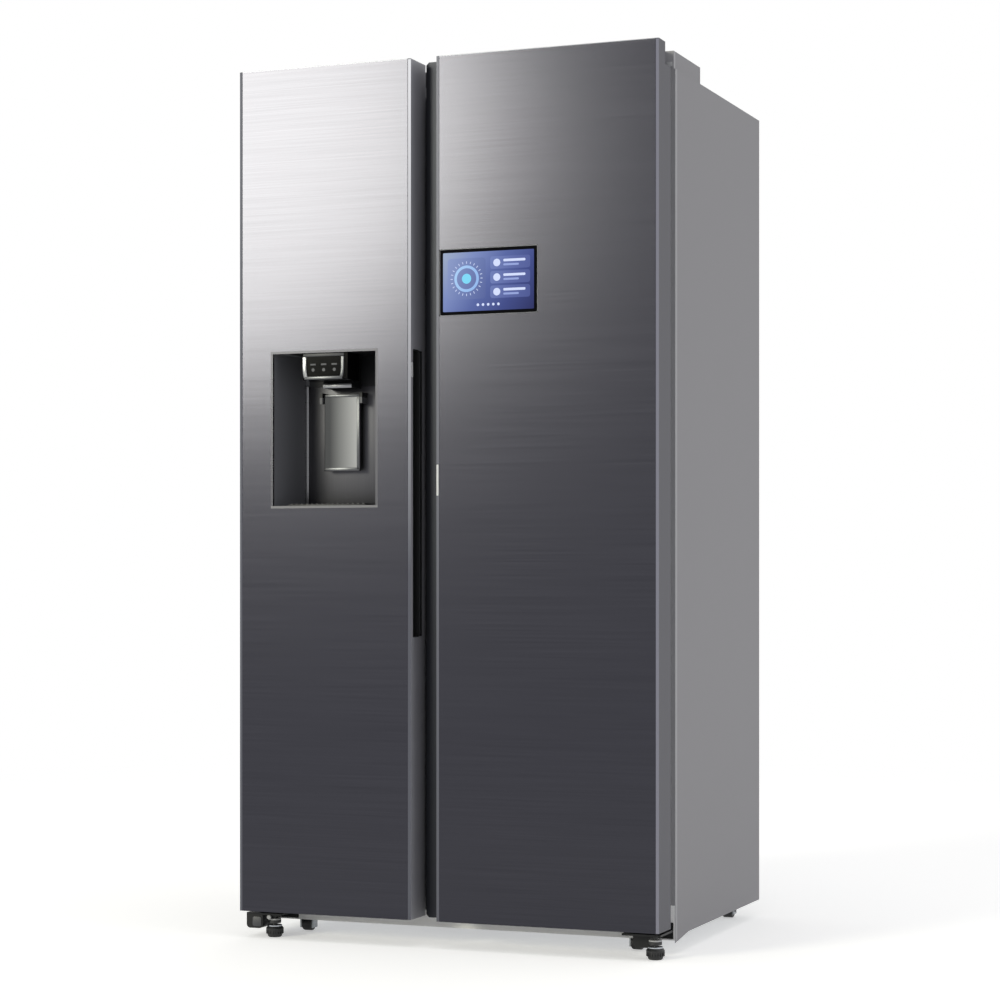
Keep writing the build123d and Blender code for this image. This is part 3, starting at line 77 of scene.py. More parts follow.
MM = 0.001
# How far a band of colour runs past the surface's own end, so that it takes in that end.
PAST = 1.0
# Faces that meet at more than this stay sharp.
SHARP = math.radians(35)
# Two ends along one axis.
Span = tuple[float, float]
# A place on two axes, or a radius and a place along the axis.
Point = tuple[float, float]


# ---------------------------------------------------------------- small helpers
class Axis(Enum):
    """A direction of the frame."""

    X = 0
    Y = 1
    Z = 2

    def point(self, a: float, b: float, along: float) -> Vector:
        """A point at `along` on this axis and at a, b on the two others, in their own order."""
        others = (a, b)
        return Vector((*others[:self.value], along, *others[self.value:]))


class Side(Enum):
    """Left or right of the middle plane."""

    LEFT = -1
    RIGHT = 1

    @property
    def label(self) -> str:
        """Its word in the names of pieces."""
        return self.name.lower()

    def span(self, near: float, far: float) -> Span:
        """The span between two distances from the middle plane, on this side."""
        return tuple(sorted((self.value * near, self.value * far)))


def inset(span: Span, by: float) -> Span:
    """A span drawn in by the same amount at both ends."""
    return (span[0] + by, span[1] - by)


def beside(datum: float, offsets: Span) -> Span:
    """The span between two offsets from a datum."""
    return (datum + offsets[0], datum + offsets[1])


@dataclass(frozen=True)
class Box:
    """Limits of a piece along the three axes."""

    x: Span
    y: Span
    z: Span

    @classmethod
    def of(cls, node: str) -> Box:
        """The limits of a node of the frame, at rest."""
        low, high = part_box(node)
        return cls(*((a / MM, b / MM) for a, b in zip(low, high)))

    def middle(self, axis: Axis) -> float:
        """The middle of the box along one axis."""
        return sum((self.x, self.y, self.z)[axis.value]) / 2

    def size(self, axis: Axis) -> float:
        """The length of the box along one axis."""
        low, high = (self.x, self.y, self.z)[axis.value]
        return high - low


def linear(colour: str) -> tuple[float, float, float, float]:
    """Turns an sRGB hex colour into the linear one that Blender works in."""
    parts = [int(colour[i:i + 2], 16) / 255 for i in (1, 3, 5)]
    return (*(c / 12.92 if c <= 0.04045 else ((c + 0.055) / 1.055) ** 2.4 for c in parts), 1.0)


def add(tree: bpy.types.NodeTree, kind: str, inputs: dict | None = None,
        **settings: object) -> bpy.types.Node:
    """Adds a node.

    Args:
        tree: The tree that gets it.
        kind: The node's type.
        inputs: Values or sockets for its inputs, by name or number.
        settings: The node's own settings.

    Returns:
        The new node.
    """
    node = tree.nodes.new(kind)
    for key, value in settings.items():
        setattr(node, key, value)
    for key, value in (inputs or {}).items():
        if isinstance(value, bpy.types.NodeSocket):
            tree.links.new(value, node.inputs[key])
        else:
            node.inputs[key].default_value = value
    return node


# ---------------------------------------------------------------- finishes
class Grain(Enum):
    """How a surface was made: the stretch of its pattern along X, Y and Z."""

    BRUSHED = (0.008, 0.008, 1.0)
    BRUSHED_UP = (1.0, 1.0, 0.012)
    EVEN = (1.0, 1.0, 1.0)
    ROLLED = (1.0, 1.0, 0.25)


@dataclass(frozen=True)
class Band:
    """A stretch of a surface that has another colour, between two places on each of its axes.

    Where it is painted, it covers bare metal. With fade it comes in from the first place on that
    axis, where there is nothing of it, to the second, where it is full.
    """

    limits: tuple[tuple[Axis, Span], ...]
    colour: str
    roughness: float
    painted: bool = False
    fade: tuple[Axis, Span] | None = None

    def inside(self, tree: bpy.types.NodeTree, axes: bpy.types.Node) -> bpy.types.NodeSocket:
        """1 inside the band and 0 outside it.

        Args:
            tree: The material's tree.
            axes: The node that gives the place along X, Y and Z.

        Returns:
            The socket with that value.
        """
        masks = [add(tree, "ShaderNodeMath", {0: axes.outputs[axis.value], 1: sum(span) / 2 * MM,
                                              2: (span[1] - span[0]) / 2 * MM}, operation="COMPARE")
                 for axis, span in self.limits]
        if self.fade:
            axis, (start, end) = self.fade
            masks.append(add(tree, "ShaderNodeMapRange", {"Value": axes.outputs[axis.value],
                                                          "From Min": start * MM, "From Max": end * MM}))
        found = masks[0].outputs[0]
        for mask in masks[1:]:
            found = add(tree, "ShaderNodeMath", {0: found, 1: mask.outputs[0]},
                        operation="MULTIPLY").outputs[0]
        return found


@dataclass(frozen=True)
class Look:
    """What a piece is given: a material of this name, and the slot of the record that it belongs to."""

    name: str
    slot: str

    def material(self) -> bpy.types.Material:
        """The node material, made the first time that it is asked for.

        Returns:
            The material.
        """
        made = bpy.data.materials.get(self.name)
        if made is None:
            made = bpy.data.materials.new(self.name)
            made.use_nodes = True
            self.fill(made.node_tree, made.node_tree.nodes["Principled BSDF"].inputs)
        return made

    def fill(self, tree: bpy.types.NodeTree, surface: bpy.types.NodeInputs) -> None:
        """Builds the nodes that feed the shader, in each kind of look."""
        raise NotImplementedError


@dataclass(frozen=True)
class Finish(Look):
    """One real material and how its surface was made.

    colours are the two ends of its slight variation, grain_size is in millimetres, relief is the
    height of its texture in millimetres, and bands are the stretches that differ.
    """

    colours: tuple[str, str]
    grain: Grain = Grain.EVEN
    grain_size: float = 1.2
    relief: float = 0.02
    roughness: Span = (0.4, 0.5)
    metallic: float = 0.0
    ior: float = 1.5
    specular: float = 0.5
    transmission: float = 0.0
    spangle: bool = False
    bands: tuple[Band, ...] = ()

    def pattern(self, tree: bpy.types.NodeTree, place: bpy.types.NodeSocket) -> bpy.types.NodeSocket:
        """The texture that drives colour, roughness and relief.

        Args:
            tree: The material's tree.
            place: The place on the object.

        Returns:
            The socket with its value, from 0 to 1.
        """
        scale = [stretch / (self.grain_size * MM) for stretch in self.grain.value]
        spread = add(tree, "ShaderNodeMapping", {"Vector": place, "Scale": scale}).outputs[0]
        if self.spangle:
            cells = add(tree, "ShaderNodeTexVoronoi", {"Vector": spread, "Scale": 1.0}).outputs["Color"]
            return add(tree, "ShaderNodeSeparateColor", {"Color": cells}).outputs[0]
        return add(tree, "ShaderNodeTexNoise", {"Vector": spread, "Scale": 1.0, "Detail": 3.0}).outputs["Fac"]

    def fill(self, tree: bpy.types.NodeTree, surface: bpy.types.NodeInputs) -> None:
        """Colour, roughness and relief from the pattern, and the bands over them.

        Args:
            tree: The material's tree.
            surface: The shader's inputs.
        """
        place = add(tree, "ShaderNodeTexCoord").outputs["Object"]
        value = self.pattern(tree, place)
        low, high = (linear(colour) for colour in self.colours)
        colour = add(tree, "ShaderNodeMix", {0: value, 6: low, 7: high}, data_type="RGBA").outputs[2]
        rough = add(tree, "ShaderNodeMapRange", {"Value": value, "To Min": self.roughness[0],
                                                 "To Max": self.roughness[1]}).outputs[0]
        axes = add(tree, "ShaderNodeSeparateXYZ", {"Vector": place})
        metal = self.metallic
        for band in self.bands:
            inside = band.inside(tree, axes)
            colour = add(tree, "ShaderNodeMix", {0: inside, 6: colour, 7: linear(band.colour)},
                         data_type="RGBA").outputs[2]
            rough = add(tree, "ShaderNodeMix", {0: inside, 2: rough, 3: band.roughness}).outputs[0]
            if band.painted:
                metal = add(tree, "ShaderNodeMix", {0: inside, 2: metal, 3: 0.0}).outputs[0]
        bump = add(tree, "ShaderNodeBump", {"Height": value, "Distance": self.relief * MM, "Strength": 1.0})
        tree.links.new(colour, surface["Base Color"])
        tree.links.new(rough, surface["Roughness"])
        tree.links.new(bump.outputs[0], surface["Normal"])
        if isinstance(metal, bpy.types.NodeSocket):
            tree.links.new(metal, surface["Metallic"])
        else:
            surface["Metallic"].default_value = metal
        surface["Specular IOR Level"].default_value = self.specular
        surface["Transmission Weight"].default_value = self.transmission
        if not self.metallic:
            surface["IOR"].default_value = self.ior


@dataclass(frozen=True)
class Glow(Look):
    """A lit area of the screen: one colour, or several that run from its upper left to its lower right.

    The backlight shines through a dark and nearly mirror-free panel, so hardly anything else shows there.
    """

    colours: tuple[str, ...]
    box: Box | None = None
    dark: str = "#08090C"
    across_share: float = 0.7

    def fill(self, tree: bpy.types.NodeTree, surface: bpy.types.NodeInputs) -> None:
        """Makes the panel dark and lights it.

        Args:
            tree: The material's tree.
            surface: The shader's inputs.
        """
        surface["Base Color"].default_value = linear(self.dark)
        surface["Roughness"].default_value = 0.3
        surface["Specular IOR Level"].default_value = 0.02
        surface["Emission Strength"].default_value = 1.0
        if self.box:
            tree.links.new(self.gradient(tree), surface["Emission Color"])
        else:
            surface["Emission Color"].default_value = linear(self.colours[0])

    def gradient(self, tree: bpy.types.NodeTree) -> bpy.types.NodeSocket:
        """The colours, spread evenly over the slanting way across the box.

        Args:
            tree: The material's tree.

        Returns:
            The socket with the colour.
        """
        place = add(tree, "ShaderNodeTexCoord").outputs["Object"]
        axes = add(tree, "ShaderNodeSeparateXYZ", {"Vector": place}).outputs
        left, right = self.box.x
        low, high = self.box.z
        across = add(tree, "ShaderNodeMapRange", {"Value": axes["X"], "From Min": left * MM,
                                                  "From Max": right * MM, "To Max": self.across_share})
        down = add(tree, "ShaderNodeMapRange", {"Value": axes["Z"], "From Min": high * MM,
                                                "From Max": low * MM, "To Max": 1 - self.across_share})
        both = add(tree, "ShaderNodeMath", {0: across.outputs[0], 1: down.outputs[0]}, operation="ADD")
        ramp = add(tree, "ShaderNodeValToRGB", {"Fac": both.outputs[0]})
        stops = ramp.color_ramp.elements
        last = len(self.colours) - 1
        while len(stops) <= last:
            stops.new(0.5)
        for i, colour in enumerate(self.colours):
            stops[i].position = i / last
            stops[i].color = linear(colour)
        return ramp.outputs[0]


# On each brushed metal the lines are drawn 0.8 to 2.4 mm apart, coarser than the real 0.1 to 0.2 mm so
# that they show.

# Polyester powder enamel on steel, baked: a faint orange peel that softens reflections.
CASE_ENAMEL = Finish("baked_case_enamel", "case_enamel", ("#7B7A7E", "#818084"), grain_size=3.0,
                     relief=0.03, roughness=(0.42, 0.5), specular=0.3)
# The same enamel on the pressed rail under the doors, lightened almost to white: partly its own pale grey,
# and partly painted light that makes up for the doors' shade over it.
RAIL_ENAMEL_PAINTED_LIGHT = Finish("baked_rail_enamel", "galvanised_steel", ("#F2F2F4", "#F8F8FA"), grain_size=3.0,
                     relief=0.03, roughness=(0.4, 0.5))
# Ferritic stainless sheet with a dark tint, brushed across the door: a highlight spreads up and down
# it, across the lines.
DOOR_STEEL = Finish("brushed_dark_stainless", "dark_brushed_steel", ("#35353B", "#414148"), Grain.BRUSHED,
                    grain_size=2.4, relief=0.003, roughness=(0.17, 0.2), metallic=1.0)
# The same sheet on the dispenser's frame, brushed more roughly: duller than the door round it.
TRIM_STEEL = Finish("brushed_dispenser_frame", "bright_trim", ("#36363B", "#3F3F44"), Grain.BRUSHED,
                    grain_size=2.4, relief=0.004, roughness=(0.24, 0.32), metallic=1.0)
# Satin stainless steel of the paddle, brushed upwards: its highlight is wide and soft.
PADDLE_STEEL = Finish("satin_paddle_steel", "satin_aluminium", ("#2C2D30", "#343538"), Grain.BRUSHED_UP,
                      grain_size=1.2, relief=0.006, roughness=(0.42, 0.5), metallic=1.0)
# Hot-dip galvanised sheet: zinc crystals some 9 mm across, each of its own grey.
GALVANISED = Finish("galvanised_sheet", "galvanised_steel", ("#8E9296", "#B4B8BB"), grain_size=9.0,
                    relief=0.01, roughness=(0.3, 0.5), metallic=1.0, spangle=True)
# Vacuum-formed polystyrene: almost smooth, with a soft sheen.
LINER_WHITE = Finish("formed_polystyrene", "white_liner", ("#DEDFE0", "#E6E7E8"), grain_size=4.0,
                     relief=0.03, roughness=(0.32, 0.42))
# Rigid polyurethane foam, blown in place: open cells about 1.5 mm across, cream and dull.
FOAM = Finish("polyurethane_foam", "foam", ("#CDBE8E", "#DED2A8"), grain_size=1.5, relief=0.5,
              roughness=(0.85, 0.95))
# ABS, moulded in spark-eroded tools: an even leathery dullness. Its grains are drawn 0.8 mm across,
# coarser than the real 0.1 mm so that they show.
GREY_ABS = Finish("moulded_grey_abs", "grey_plastic", ("#34353A", "#3C3D42"), grain_size=0.8,
                  relief=0.015, roughness=(0.4, 0.5))
LIGHT_ABS = Finish("moulded_light_grey_abs", "grey_plastic", ("#A2A3A6", "#ABACAF"), grain_size=0.8,
                   relief=0.015, roughness=(0.4, 0.5))
BLACK_ABS = Finish("moulded_black_abs", "black_plastic", ("#0F1012", "#17181A"), grain_size=0.8,
                   relief=0.02, roughness=(0.4, 0.55))
RECESS_ABS = Finish("moulded_dark_abs", "grey_plastic", ("#5C5D62", "#64656A"), grain_size=0.8,
                    relief=0.015, roughness=(0.42, 0.52), specular=0.3)
# Soft PVC of the magnetic seal, extruded: matt, slightly dusty.
SEAL_PVC = Finish("soft_pvc_seal", "gasket_rubber", ("#2E2F34", "#38393E"), grain_size=1.2, relief=0.03,
                  roughness=(0.6, 0.72))
# Bright anodised aluminium extrusion: fine die lines along its length, mirror-like.
BRIGHT = Finish("bright_anodised_aluminium", "bright_trim", ("#7C7D80", "#8B8C8F"), Grain.BRUSHED,
                grain_size=0.8, relief=0.004, roughness=(0.24, 0.34), metallic=1.0)
# Satin anodised aluminium, brushed upwards: a soft grey that picks up light along the grain.
SATIN = Finish("satin_anodised_aluminium", "satin_aluminium", ("#606165", "#6C6D71"), Grain.BRUSHED_UP,
               grain_size=0.9, relief=0.006, roughness=(0.38, 0.48), metallic=1.0)
# Satin anodised aluminium of the grip rail, dyed dark: its middle shows deep grey, and its darker rims are a
# painted shade, where the doors' sides shade the rail.
GRIP_SATIN = Finish("satin_grip_rail", "satin_aluminium", ("#26272B", "#2E2F33"), Grain.BRUSHED_UP,
                    grain_size=0.9, relief=0.006, roughness=(0.3, 0.38), metallic=1.0)
# Anodised aluminium in a grey of painted light. It is lighter than the satin paddle face, a painted highlight
# on the paddle's edges. It is dimmer than the bright left bar, a painted shade on the panel frame's right and
# lower bars.
PAINTED_EDGE_LIGHT = Finish("polished_edge_aluminium", "satin_aluminium", ("#4E4F52", "#58595C"), Grain.BRUSHED_UP,
                  grain_size=0.9, relief=0.004, roughness=(0.28, 0.36), metallic=1.0)
# Aluminium sheet, brushed upwards and dyed graphite: a dim mirror of the recess round it.
GRAPHITE = Finish("satin_graphite_aluminium", "satin_aluminium", ("#47474B", "#525256"), Grain.BRUSHED_UP,
                  grain_size=1.2, relief=0.006, roughness=(0.36, 0.46), metallic=1.0)
# Toughened glass with a black print on its back: deep, glossy, with a little waviness.
BLACK_GLASS = Finish("black_printed_glass", "black_glass", ("#060608", "#0A0A0D"), grain_size=40.0,
                     relief=0.01, roughness=(0.08, 0.14), specular=0.02)
# Ceramic ink, screen-printed on the glass: dull grey marks with a faint grain.
CERAMIC_INK = Finish("grey_ceramic_ink", "grey_plastic", ("#4C4D52", "#5A5B60"), grain_size=0.8,
                     relief=0.003, roughness=(0.4, 0.5), specular=0.3)
# Display glass with an anti-reflection coating: deeper and less shiny than plain glass.
COATED_GLASS = Finish("coated_display_glass", "black_glass", ("#020204", "#050508"), grain_size=40.0,
                      relief=0.01, roughness=(0.1, 0.16), specular=0.05)
# Injection-moulded clear polystyrene: see-through, with a slight blue cast and flow lines.
CLEAR = Finish("clear_polystyrene", "clear_bin", ("#F2F6F8", "#F8FBFC"), grain_size=30.0, relief=0.02,
               roughness=(0.04, 0.1), transmission=0.97, ior=1.55)
# Toughened float glass of the shelves: see-through, faintly green, almost flat.
SHELF_GLASS = Finish("toughened_shelf_glass", "shelf_glass", ("#DCEBE4", "#E6F2EC"), grain_size=60.0,
                     relief=0.01, roughness=(0.02, 0.06), transmission=0.95, ior=1.52)
# Steel plate of the hinges and the compressor, powder-coated black: a low sheen with a fine orange peel.
BLACK_STEEL = Finish("black_coated_steel", "black_steel", ("#101113", "#17181A"), grain_size=1.6,
                     relief=0.04, roughness=(0.38, 0.5), specular=0.25)
# Mill-finish aluminium of fins and tubes, rolled: pale, with soft streaks along the roll.
COIL = Finish("mill_aluminium", "coil_metal", ("#9A9C9E", "#B0B2B4"), Grain.ROLLED, grain_size=2.0,
              relief=0.01, roughness=(0.3, 0.42), metallic=1.0)
# Opal polycarbonate over a lamp, moulded: milky, so that no lamp shows through it.
OPAL = Finish("opal_polycarbonate", "frosted_lamp", ("#EEF0F2", "#F6F7F8"), grain_size=1.5, relief=0.02,
              roughness=(0.5, 0.6), transmission=0.35)
# Zinc-plated steel of screws and rings: bright, slightly blue.
ZINC = Finish("zinc_plated_steel", "screw_zinc", ("#A4A8AE", "#BCC0C6"), grain_size=1.0, relief=0.01,
              roughness=(0.22, 0.34), metallic=1.0)
# Backlit marks of the display: even light, as a lit picture has.
PALE_MARK = Glow("screen_pale_marks", "black_glass", ("#D6E0FF",))
DIM_MARK = Glow("screen_dim_marks", "black_glass", ("#97A6DC",))
CYAN_MARK = Glow("screen_cyan", "black_glass", ("#7FD9F7",))


# ---------------------------------------------------------------- mesh shapes, in millimetres
def slab(x: Span, y: Span, z: Span, bevel: float = 0.4, segments: int = 2) -> bmesh.types.BMesh:
    """A block with rounded edges.

    Args:
        x, y, z: Its limits.
        bevel: Size of the rounding.
        segments: Faces across the rounding.

    Returns:
        The mesh.
    """
    shape = bmesh.new()
    bmesh.ops.create_cube(shape, size=1.0)
    bmesh.ops.scale(shape, vec=[b - a for a, b in (x, y, z)], verts=shape.verts)
    bmesh.ops.translate(shape, vec=[(a + b) / 2 for a, b in (x, y, z)], verts=shape.verts)
    bmesh.ops.bevel(shape, geom=shape.edges[:], offset=bevel, segments=segments, profile=0.5, affect="EDGES")
    return shape


def extruded(outline: list[Point], axis: Axis, span: Span, bevel: float = 0.0) -> bmesh.types.BMesh:
    """A closed outline drawn out along an axis.

    Args:
        outline: Its points on the two other axes.
        axis: The direction it is drawn along.
        span: Where it starts and ends.
        bevel: Rounding of the rims.

    Returns:
        The mesh.
    """
    shape = bmesh.new()
    low, high = ([shape.verts.new(axis.point(a, b, end)) for a, b in outline] for end in span)
    caps = [shape.faces.new(low), shape.faces.new(high)]
    for i, here in enumerate(low):
        after = (i + 1) % len(low)
        shape.faces.new((here, low[after], high[after], high[i]))
    bmesh.ops.recalc_face_normals(shape, faces=shape.faces)
    if bevel:
        rims = [edge for cap in caps for edge in cap.edges]
        bmesh.ops.bevel(shape, geom=rims, offset=bevel, segments=2, profile=0.5, affect="EDGES")
    return shape


def turned(profile: list[Point], axis: Axis, centre: Point = (0, 0), steps: int = 48) -> bmesh.types.BMesh:
    """A turned piece.

    Args:
        profile: (radius, place along the axis) points; a radius of 0 is a pole.
        axis: The direction of its axis.
        centre: The axis's place on the two other directions.
        steps: Faces round it.

    Returns:
        The mesh.
    """
    shape = bmesh.new()
    rings = []
    for radius, along in profile:
        count = steps if radius else 1
        turns = [math.tau * i / count for i in range(count)]
        ring = [(centre[0] + radius * math.cos(turn), centre[1] + radius * math.sin(turn)) for turn in turns]
        rings.append([shape.verts.new(axis.point(a, b, along)) for a, b in ring])
    for one, two in zip(rings, rings[1:]):
        for i in range(steps):
            j = (i + 1) % steps
            corners = [one[i % len(one)], one[j % len(one)], two[j % len(two)], two[i % len(two)]]
            corners = list(dict.fromkeys(corners))
            if len(corners) > 2:
                shape.faces.new(corners)
    bmesh.ops.recalc_face_normals(shape, faces=shape.faces)
    return shape


def rounded(x: Span, z: Span, corner: float, steps: int = 6) -> list[Point]:
    """The outline of a rectangle with round corners.

    Args:
        x, z: Its limits.
        corner: The corners' radius.
        steps: Sides of each corner.

    Returns:
        Its points, in order.
    """
    left, right = inset(x, corner)
    low, high = inset(z, corner)
    points = []
    for i, (cx, cz) in enumerate(((right, high), (left, high), (left, low), (right, low))):
        for k in range(steps + 1):
            turn = math.pi / 2 * (i + k / steps)
            points.append((cx + corner * math.cos(turn), cz + corner * math.sin(turn)))
    return points


def joined(*shapes: bmesh.types.BMesh) -> bmesh.types.BMesh:
    """Several shapes as one mesh.

    Args:
        shapes: The shapes, which are used up.

    Returns:
        The mesh.
    """
    whole = bmesh.new()
    for shape in shapes:
        mesh = bpy.data.meshes.new("part")
        shape.to_mesh(mesh)
        whole.from_mesh(mesh)
        bpy.data.meshes.remove(mesh)
        shape.free()
    return whole


def cross_screw(radius: float, height: float) -> bmesh.types.BMesh:
    """A pan head with a cross recess, its back on the plane y = 0 and its head towards +Y.

    Args:
        radius: The head's radius.
        height: The head's height.

    Returns:
        The mesh.
    """
    rim, floor, crown = 0.45 * height, 0.5 * height, 0.97 * height
    head = turned([(0, 0), (radius, 0), (radius, rim), (radius * 0.82, height * 0.85),
                   (radius * 0.5, height), (radius * 0.46, floor), (0, rim)], Axis.Y, steps=24)
    near, far = radius * 0.14, radius * 0.44 * 0.75
    quarters = [slab(across.span(near, far), (floor, crown), up.span(near, far), bevel=0.05, segments=1)
                for across in Side for up in Side]
    return joined(head, *quarters)


# ---------------------------------------------------------------- repeated shapes, by Geometry Nodes
class Recipe:
    """A Geometry Nodes tree with named inputs in millimetres, worked out once into a plain mesh."""

    def __init__(self, name: str, sockets: dict[str, str]) -> None:
        """Starts the tree.

        Args:
            name: The tree's name.
            sockets: Its inputs, each a name and a type.
        """
        self.tree = bpy.data.node_groups.new(name, "GeometryNodeTree")
        for label, kind in {"Geometry": "Geometry", **sockets, "Finish": "Material"}.items():
            self.tree.interface.new_socket(label, in_out="INPUT", socket_type="NodeSocket" + kind)
        self.tree.interface.new_socket("Geometry", in_out="OUTPUT", socket_type="NodeSocketGeometry")
        self.given = self.tree.nodes.new("NodeGroupInput").outputs

    def node(self, kind: str, inputs: dict | None = None, **settings: object) -> bpy.types.Node:
        """Adds a node to this tree."""
        return add(self.tree, kind, inputs, **settings)

    def close(self, copies: bpy.types.Node) -> None:
        """Ends the tree: metres, real instances, and the finish.

        Args:
            copies: The node that gives the shapes, in millimetres.
        """
        metres = self.node("GeometryNodeTransform", {"Geometry": copies.outputs[0], "Scale": (MM, MM, MM)})
        real = self.node("GeometryNodeRealizeInstances", {"Geometry": metres.outputs[0]})
        dressed = self.node("GeometryNodeSetMaterial", {"Geometry": real.outputs[0],
                                                        "Material": self.given["Finish"]})
        self.node("NodeGroupOutput", {"Geometry": dressed.outputs[0]})

    def make(self, name: str, look: Look, sizes: dict[str, object],
             places: list[Vector] | None = None) -> bpy.types.Object:
        """Works the tree out.

        Args:
            name: The new piece's name.
            look: What it is made of.
            sizes: Values for the named inputs.
            places: Points that the tree puts copies on, where it takes them.

        Returns:
            An object with a plain mesh, and no modifier.
        """
        points = bpy.data.meshes.new(name)
        points.from_pydata(places or [(0, 0, 0)], [], [])
        host = bpy.data.objects.new(name, points)
        bpy.context.scene.collection.objects.link(host)
        modifier = host.modifiers.new("recipe", "NODES")
        modifier.node_group = self.tree
        inputs = [item for item in self.tree.interface.items_tree if item.in_out == "INPUT"]
        known = {item.name: item.identifier for item in inputs}
        for label, value in {**sizes, "Finish": look.material()}.items():
            modifier[known[label]] = value
        bpy.context.view_layer.update()
        worked_out = host.evaluated_get(bpy.context.evaluated_depsgraph_get())
        host.data = bpy.data.meshes.new_from_object(worked_out)
        host.modifiers.remove(modifier)
        bpy.data.meshes.remove(points)
        host.data.name = name
        return host


def bar_recipe() -> Recipe:
    """Straight rounded bars side by side, such as slats, ribs, louvres and fins.

    Returns:
        The recipe. For bars that run along X, Width is on Y and Height on Z. For bars that run along
        Y, they are on X and Z, and for upright bars on X and Y.
    """
    recipe = Recipe("rounded_bars", {"Count": "Int", "Start": "Vector", "Step": "Vector", "Reach": "Vector",
                                     "Width": "Float", "Height": "Float", "Corner": "Float"})
    given = recipe.given
    line = recipe.node("GeometryNodeCurvePrimitiveLine", {"End": given["Reach"]})
    section = recipe.node("GeometryNodeCurvePrimitiveQuadrilateral",
                          {"Width": given["Width"], "Height": given["Height"]})
    soft = recipe.node("GeometryNodeFilletCurve", {"Curve": section.outputs[0], "Radius": given["Corner"],
                                                   "Count": 2}, mode="POLY")
    bar = recipe.node("GeometryNodeCurveToMesh", {"Curve": line.outputs[0], "Profile Curve": soft.outputs[0],
                                                  "Fill Caps": True})
    row = recipe.node("GeometryNodeMeshLine", {"Count": given["Count"], "Start Location": given["Start"],
                                               "Offset": given["Step"]}, mode="OFFSET")
    recipe.close(recipe.node("GeometryNodeInstanceOnPoints", {"Points": row.outputs[0],
                                                              "Instance": bar.outputs[0]}))
    return recipe


def loop_recipe() -> Recipe:
    """A round bead that follows a rectangle in the doors' plane.

    Returns:
        The recipe.
    """
    recipe = Recipe("beaded_loop", {"Centre": "Vector", "Width": "Float", "Height": "Float",
                                    "Corner": "Float", "Bead": "Float"})
    given = recipe.given
    path = recipe.node("GeometryNodeCurvePrimitiveQuadrilateral",
                       {"Width": given["Width"], "Height": given["Height"]})
    soft = recipe.node("GeometryNodeFilletCurve", {"Curve": path.outputs[0], "Radius": given["Corner"],
                                                   "Count": 5}, mode="POLY")
    bead = recipe.node("GeometryNodeCurvePrimitiveCircle", {"Radius": given["Bead"], "Resolution": 10})
    tube = recipe.node("GeometryNodeCurveToMesh", {"Curve": soft.outputs[0],
                                                   "Profile Curve": bead.outputs[0]})
    recipe.close(recipe.node("GeometryNodeTransform", {"Geometry": tube.outputs[0],
                                                       "Translation": given["Centre"],
                                                       "Rotation": (math.pi / 2, 0, 0)}))
    return recipe


def ring_recipe() -> Recipe:
    """Bars round an axis, such as knurls, treads and dial marks.

    Returns:
        The recipe. Its axis is Z before Turn.
    """
    recipe = Recipe("bars_round_an_axis", {"Count": "Int", "Radius": "Float", "Centre": "Vector",
                                           "Turn": "Vector", "Reach": "Vector", "Width": "Float",
                                           "Height": "Float"})
    given = recipe.given
    line = recipe.node("GeometryNodeCurvePrimitiveLine", {"End": given["Reach"]})
    section = recipe.node("GeometryNodeCurvePrimitiveQuadrilateral",
                          {"Width": given["Width"], "Height": given["Height"]})
    bar = recipe.node("GeometryNodeCurveToMesh", {"Curve": line.outputs[0],
                                                  "Profile Curve": section.outputs[0], "Fill Caps": True})
    circle = recipe.node("GeometryNodeMeshCircle", {"Vertices": given["Count"], "Radius": given["Radius"]})
    index = recipe.node("GeometryNodeInputIndex")
    step = recipe.node("ShaderNodeMath", {0: math.tau, 1: given["Count"]}, operation="DIVIDE")
    angle = recipe.node("ShaderNodeMath", {0: index.outputs[0], 1: step.outputs[0]}, operation="MULTIPLY")
    turn = recipe.node("ShaderNodeCombineXYZ", {"Z": angle.outputs[0]})
    copies = recipe.node("GeometryNodeInstanceOnPoints", {"Points": circle.outputs[0],
                                                          "Instance": bar.outputs[0],
                                                          "Rotation": turn.outputs[0]})
    recipe.close(recipe.node("GeometryNodeTransform", {"Geometry": copies.outputs[0],
                                                       "Translation": given["Centre"],
                                                       "Rotation": given["Turn"]}))
    return recipe


def copy_recipe() -> Recipe:
    """Copies of one small piece on given places, such as screws.

    Returns:
        The recipe.
    """
    recipe = Recipe("copies_on_places", {"Piece": "Object"})
    piece = recipe.node("GeometryNodeObjectInfo", {"Object": recipe.given["Piece"]})
    recipe.close(recipe.node("GeometryNodeInstanceOnPoints", {"Points": recipe.given["Geometry"],
                                                              "Instance": piece.outputs["Geometry"]}))
    return recipe


class Repeat(Enum):
    """The ways in which a small shape is repeated."""

    BARS = "bars"
    LOOP = "loop"
    RING = "ring"
    COPIES = "copies"


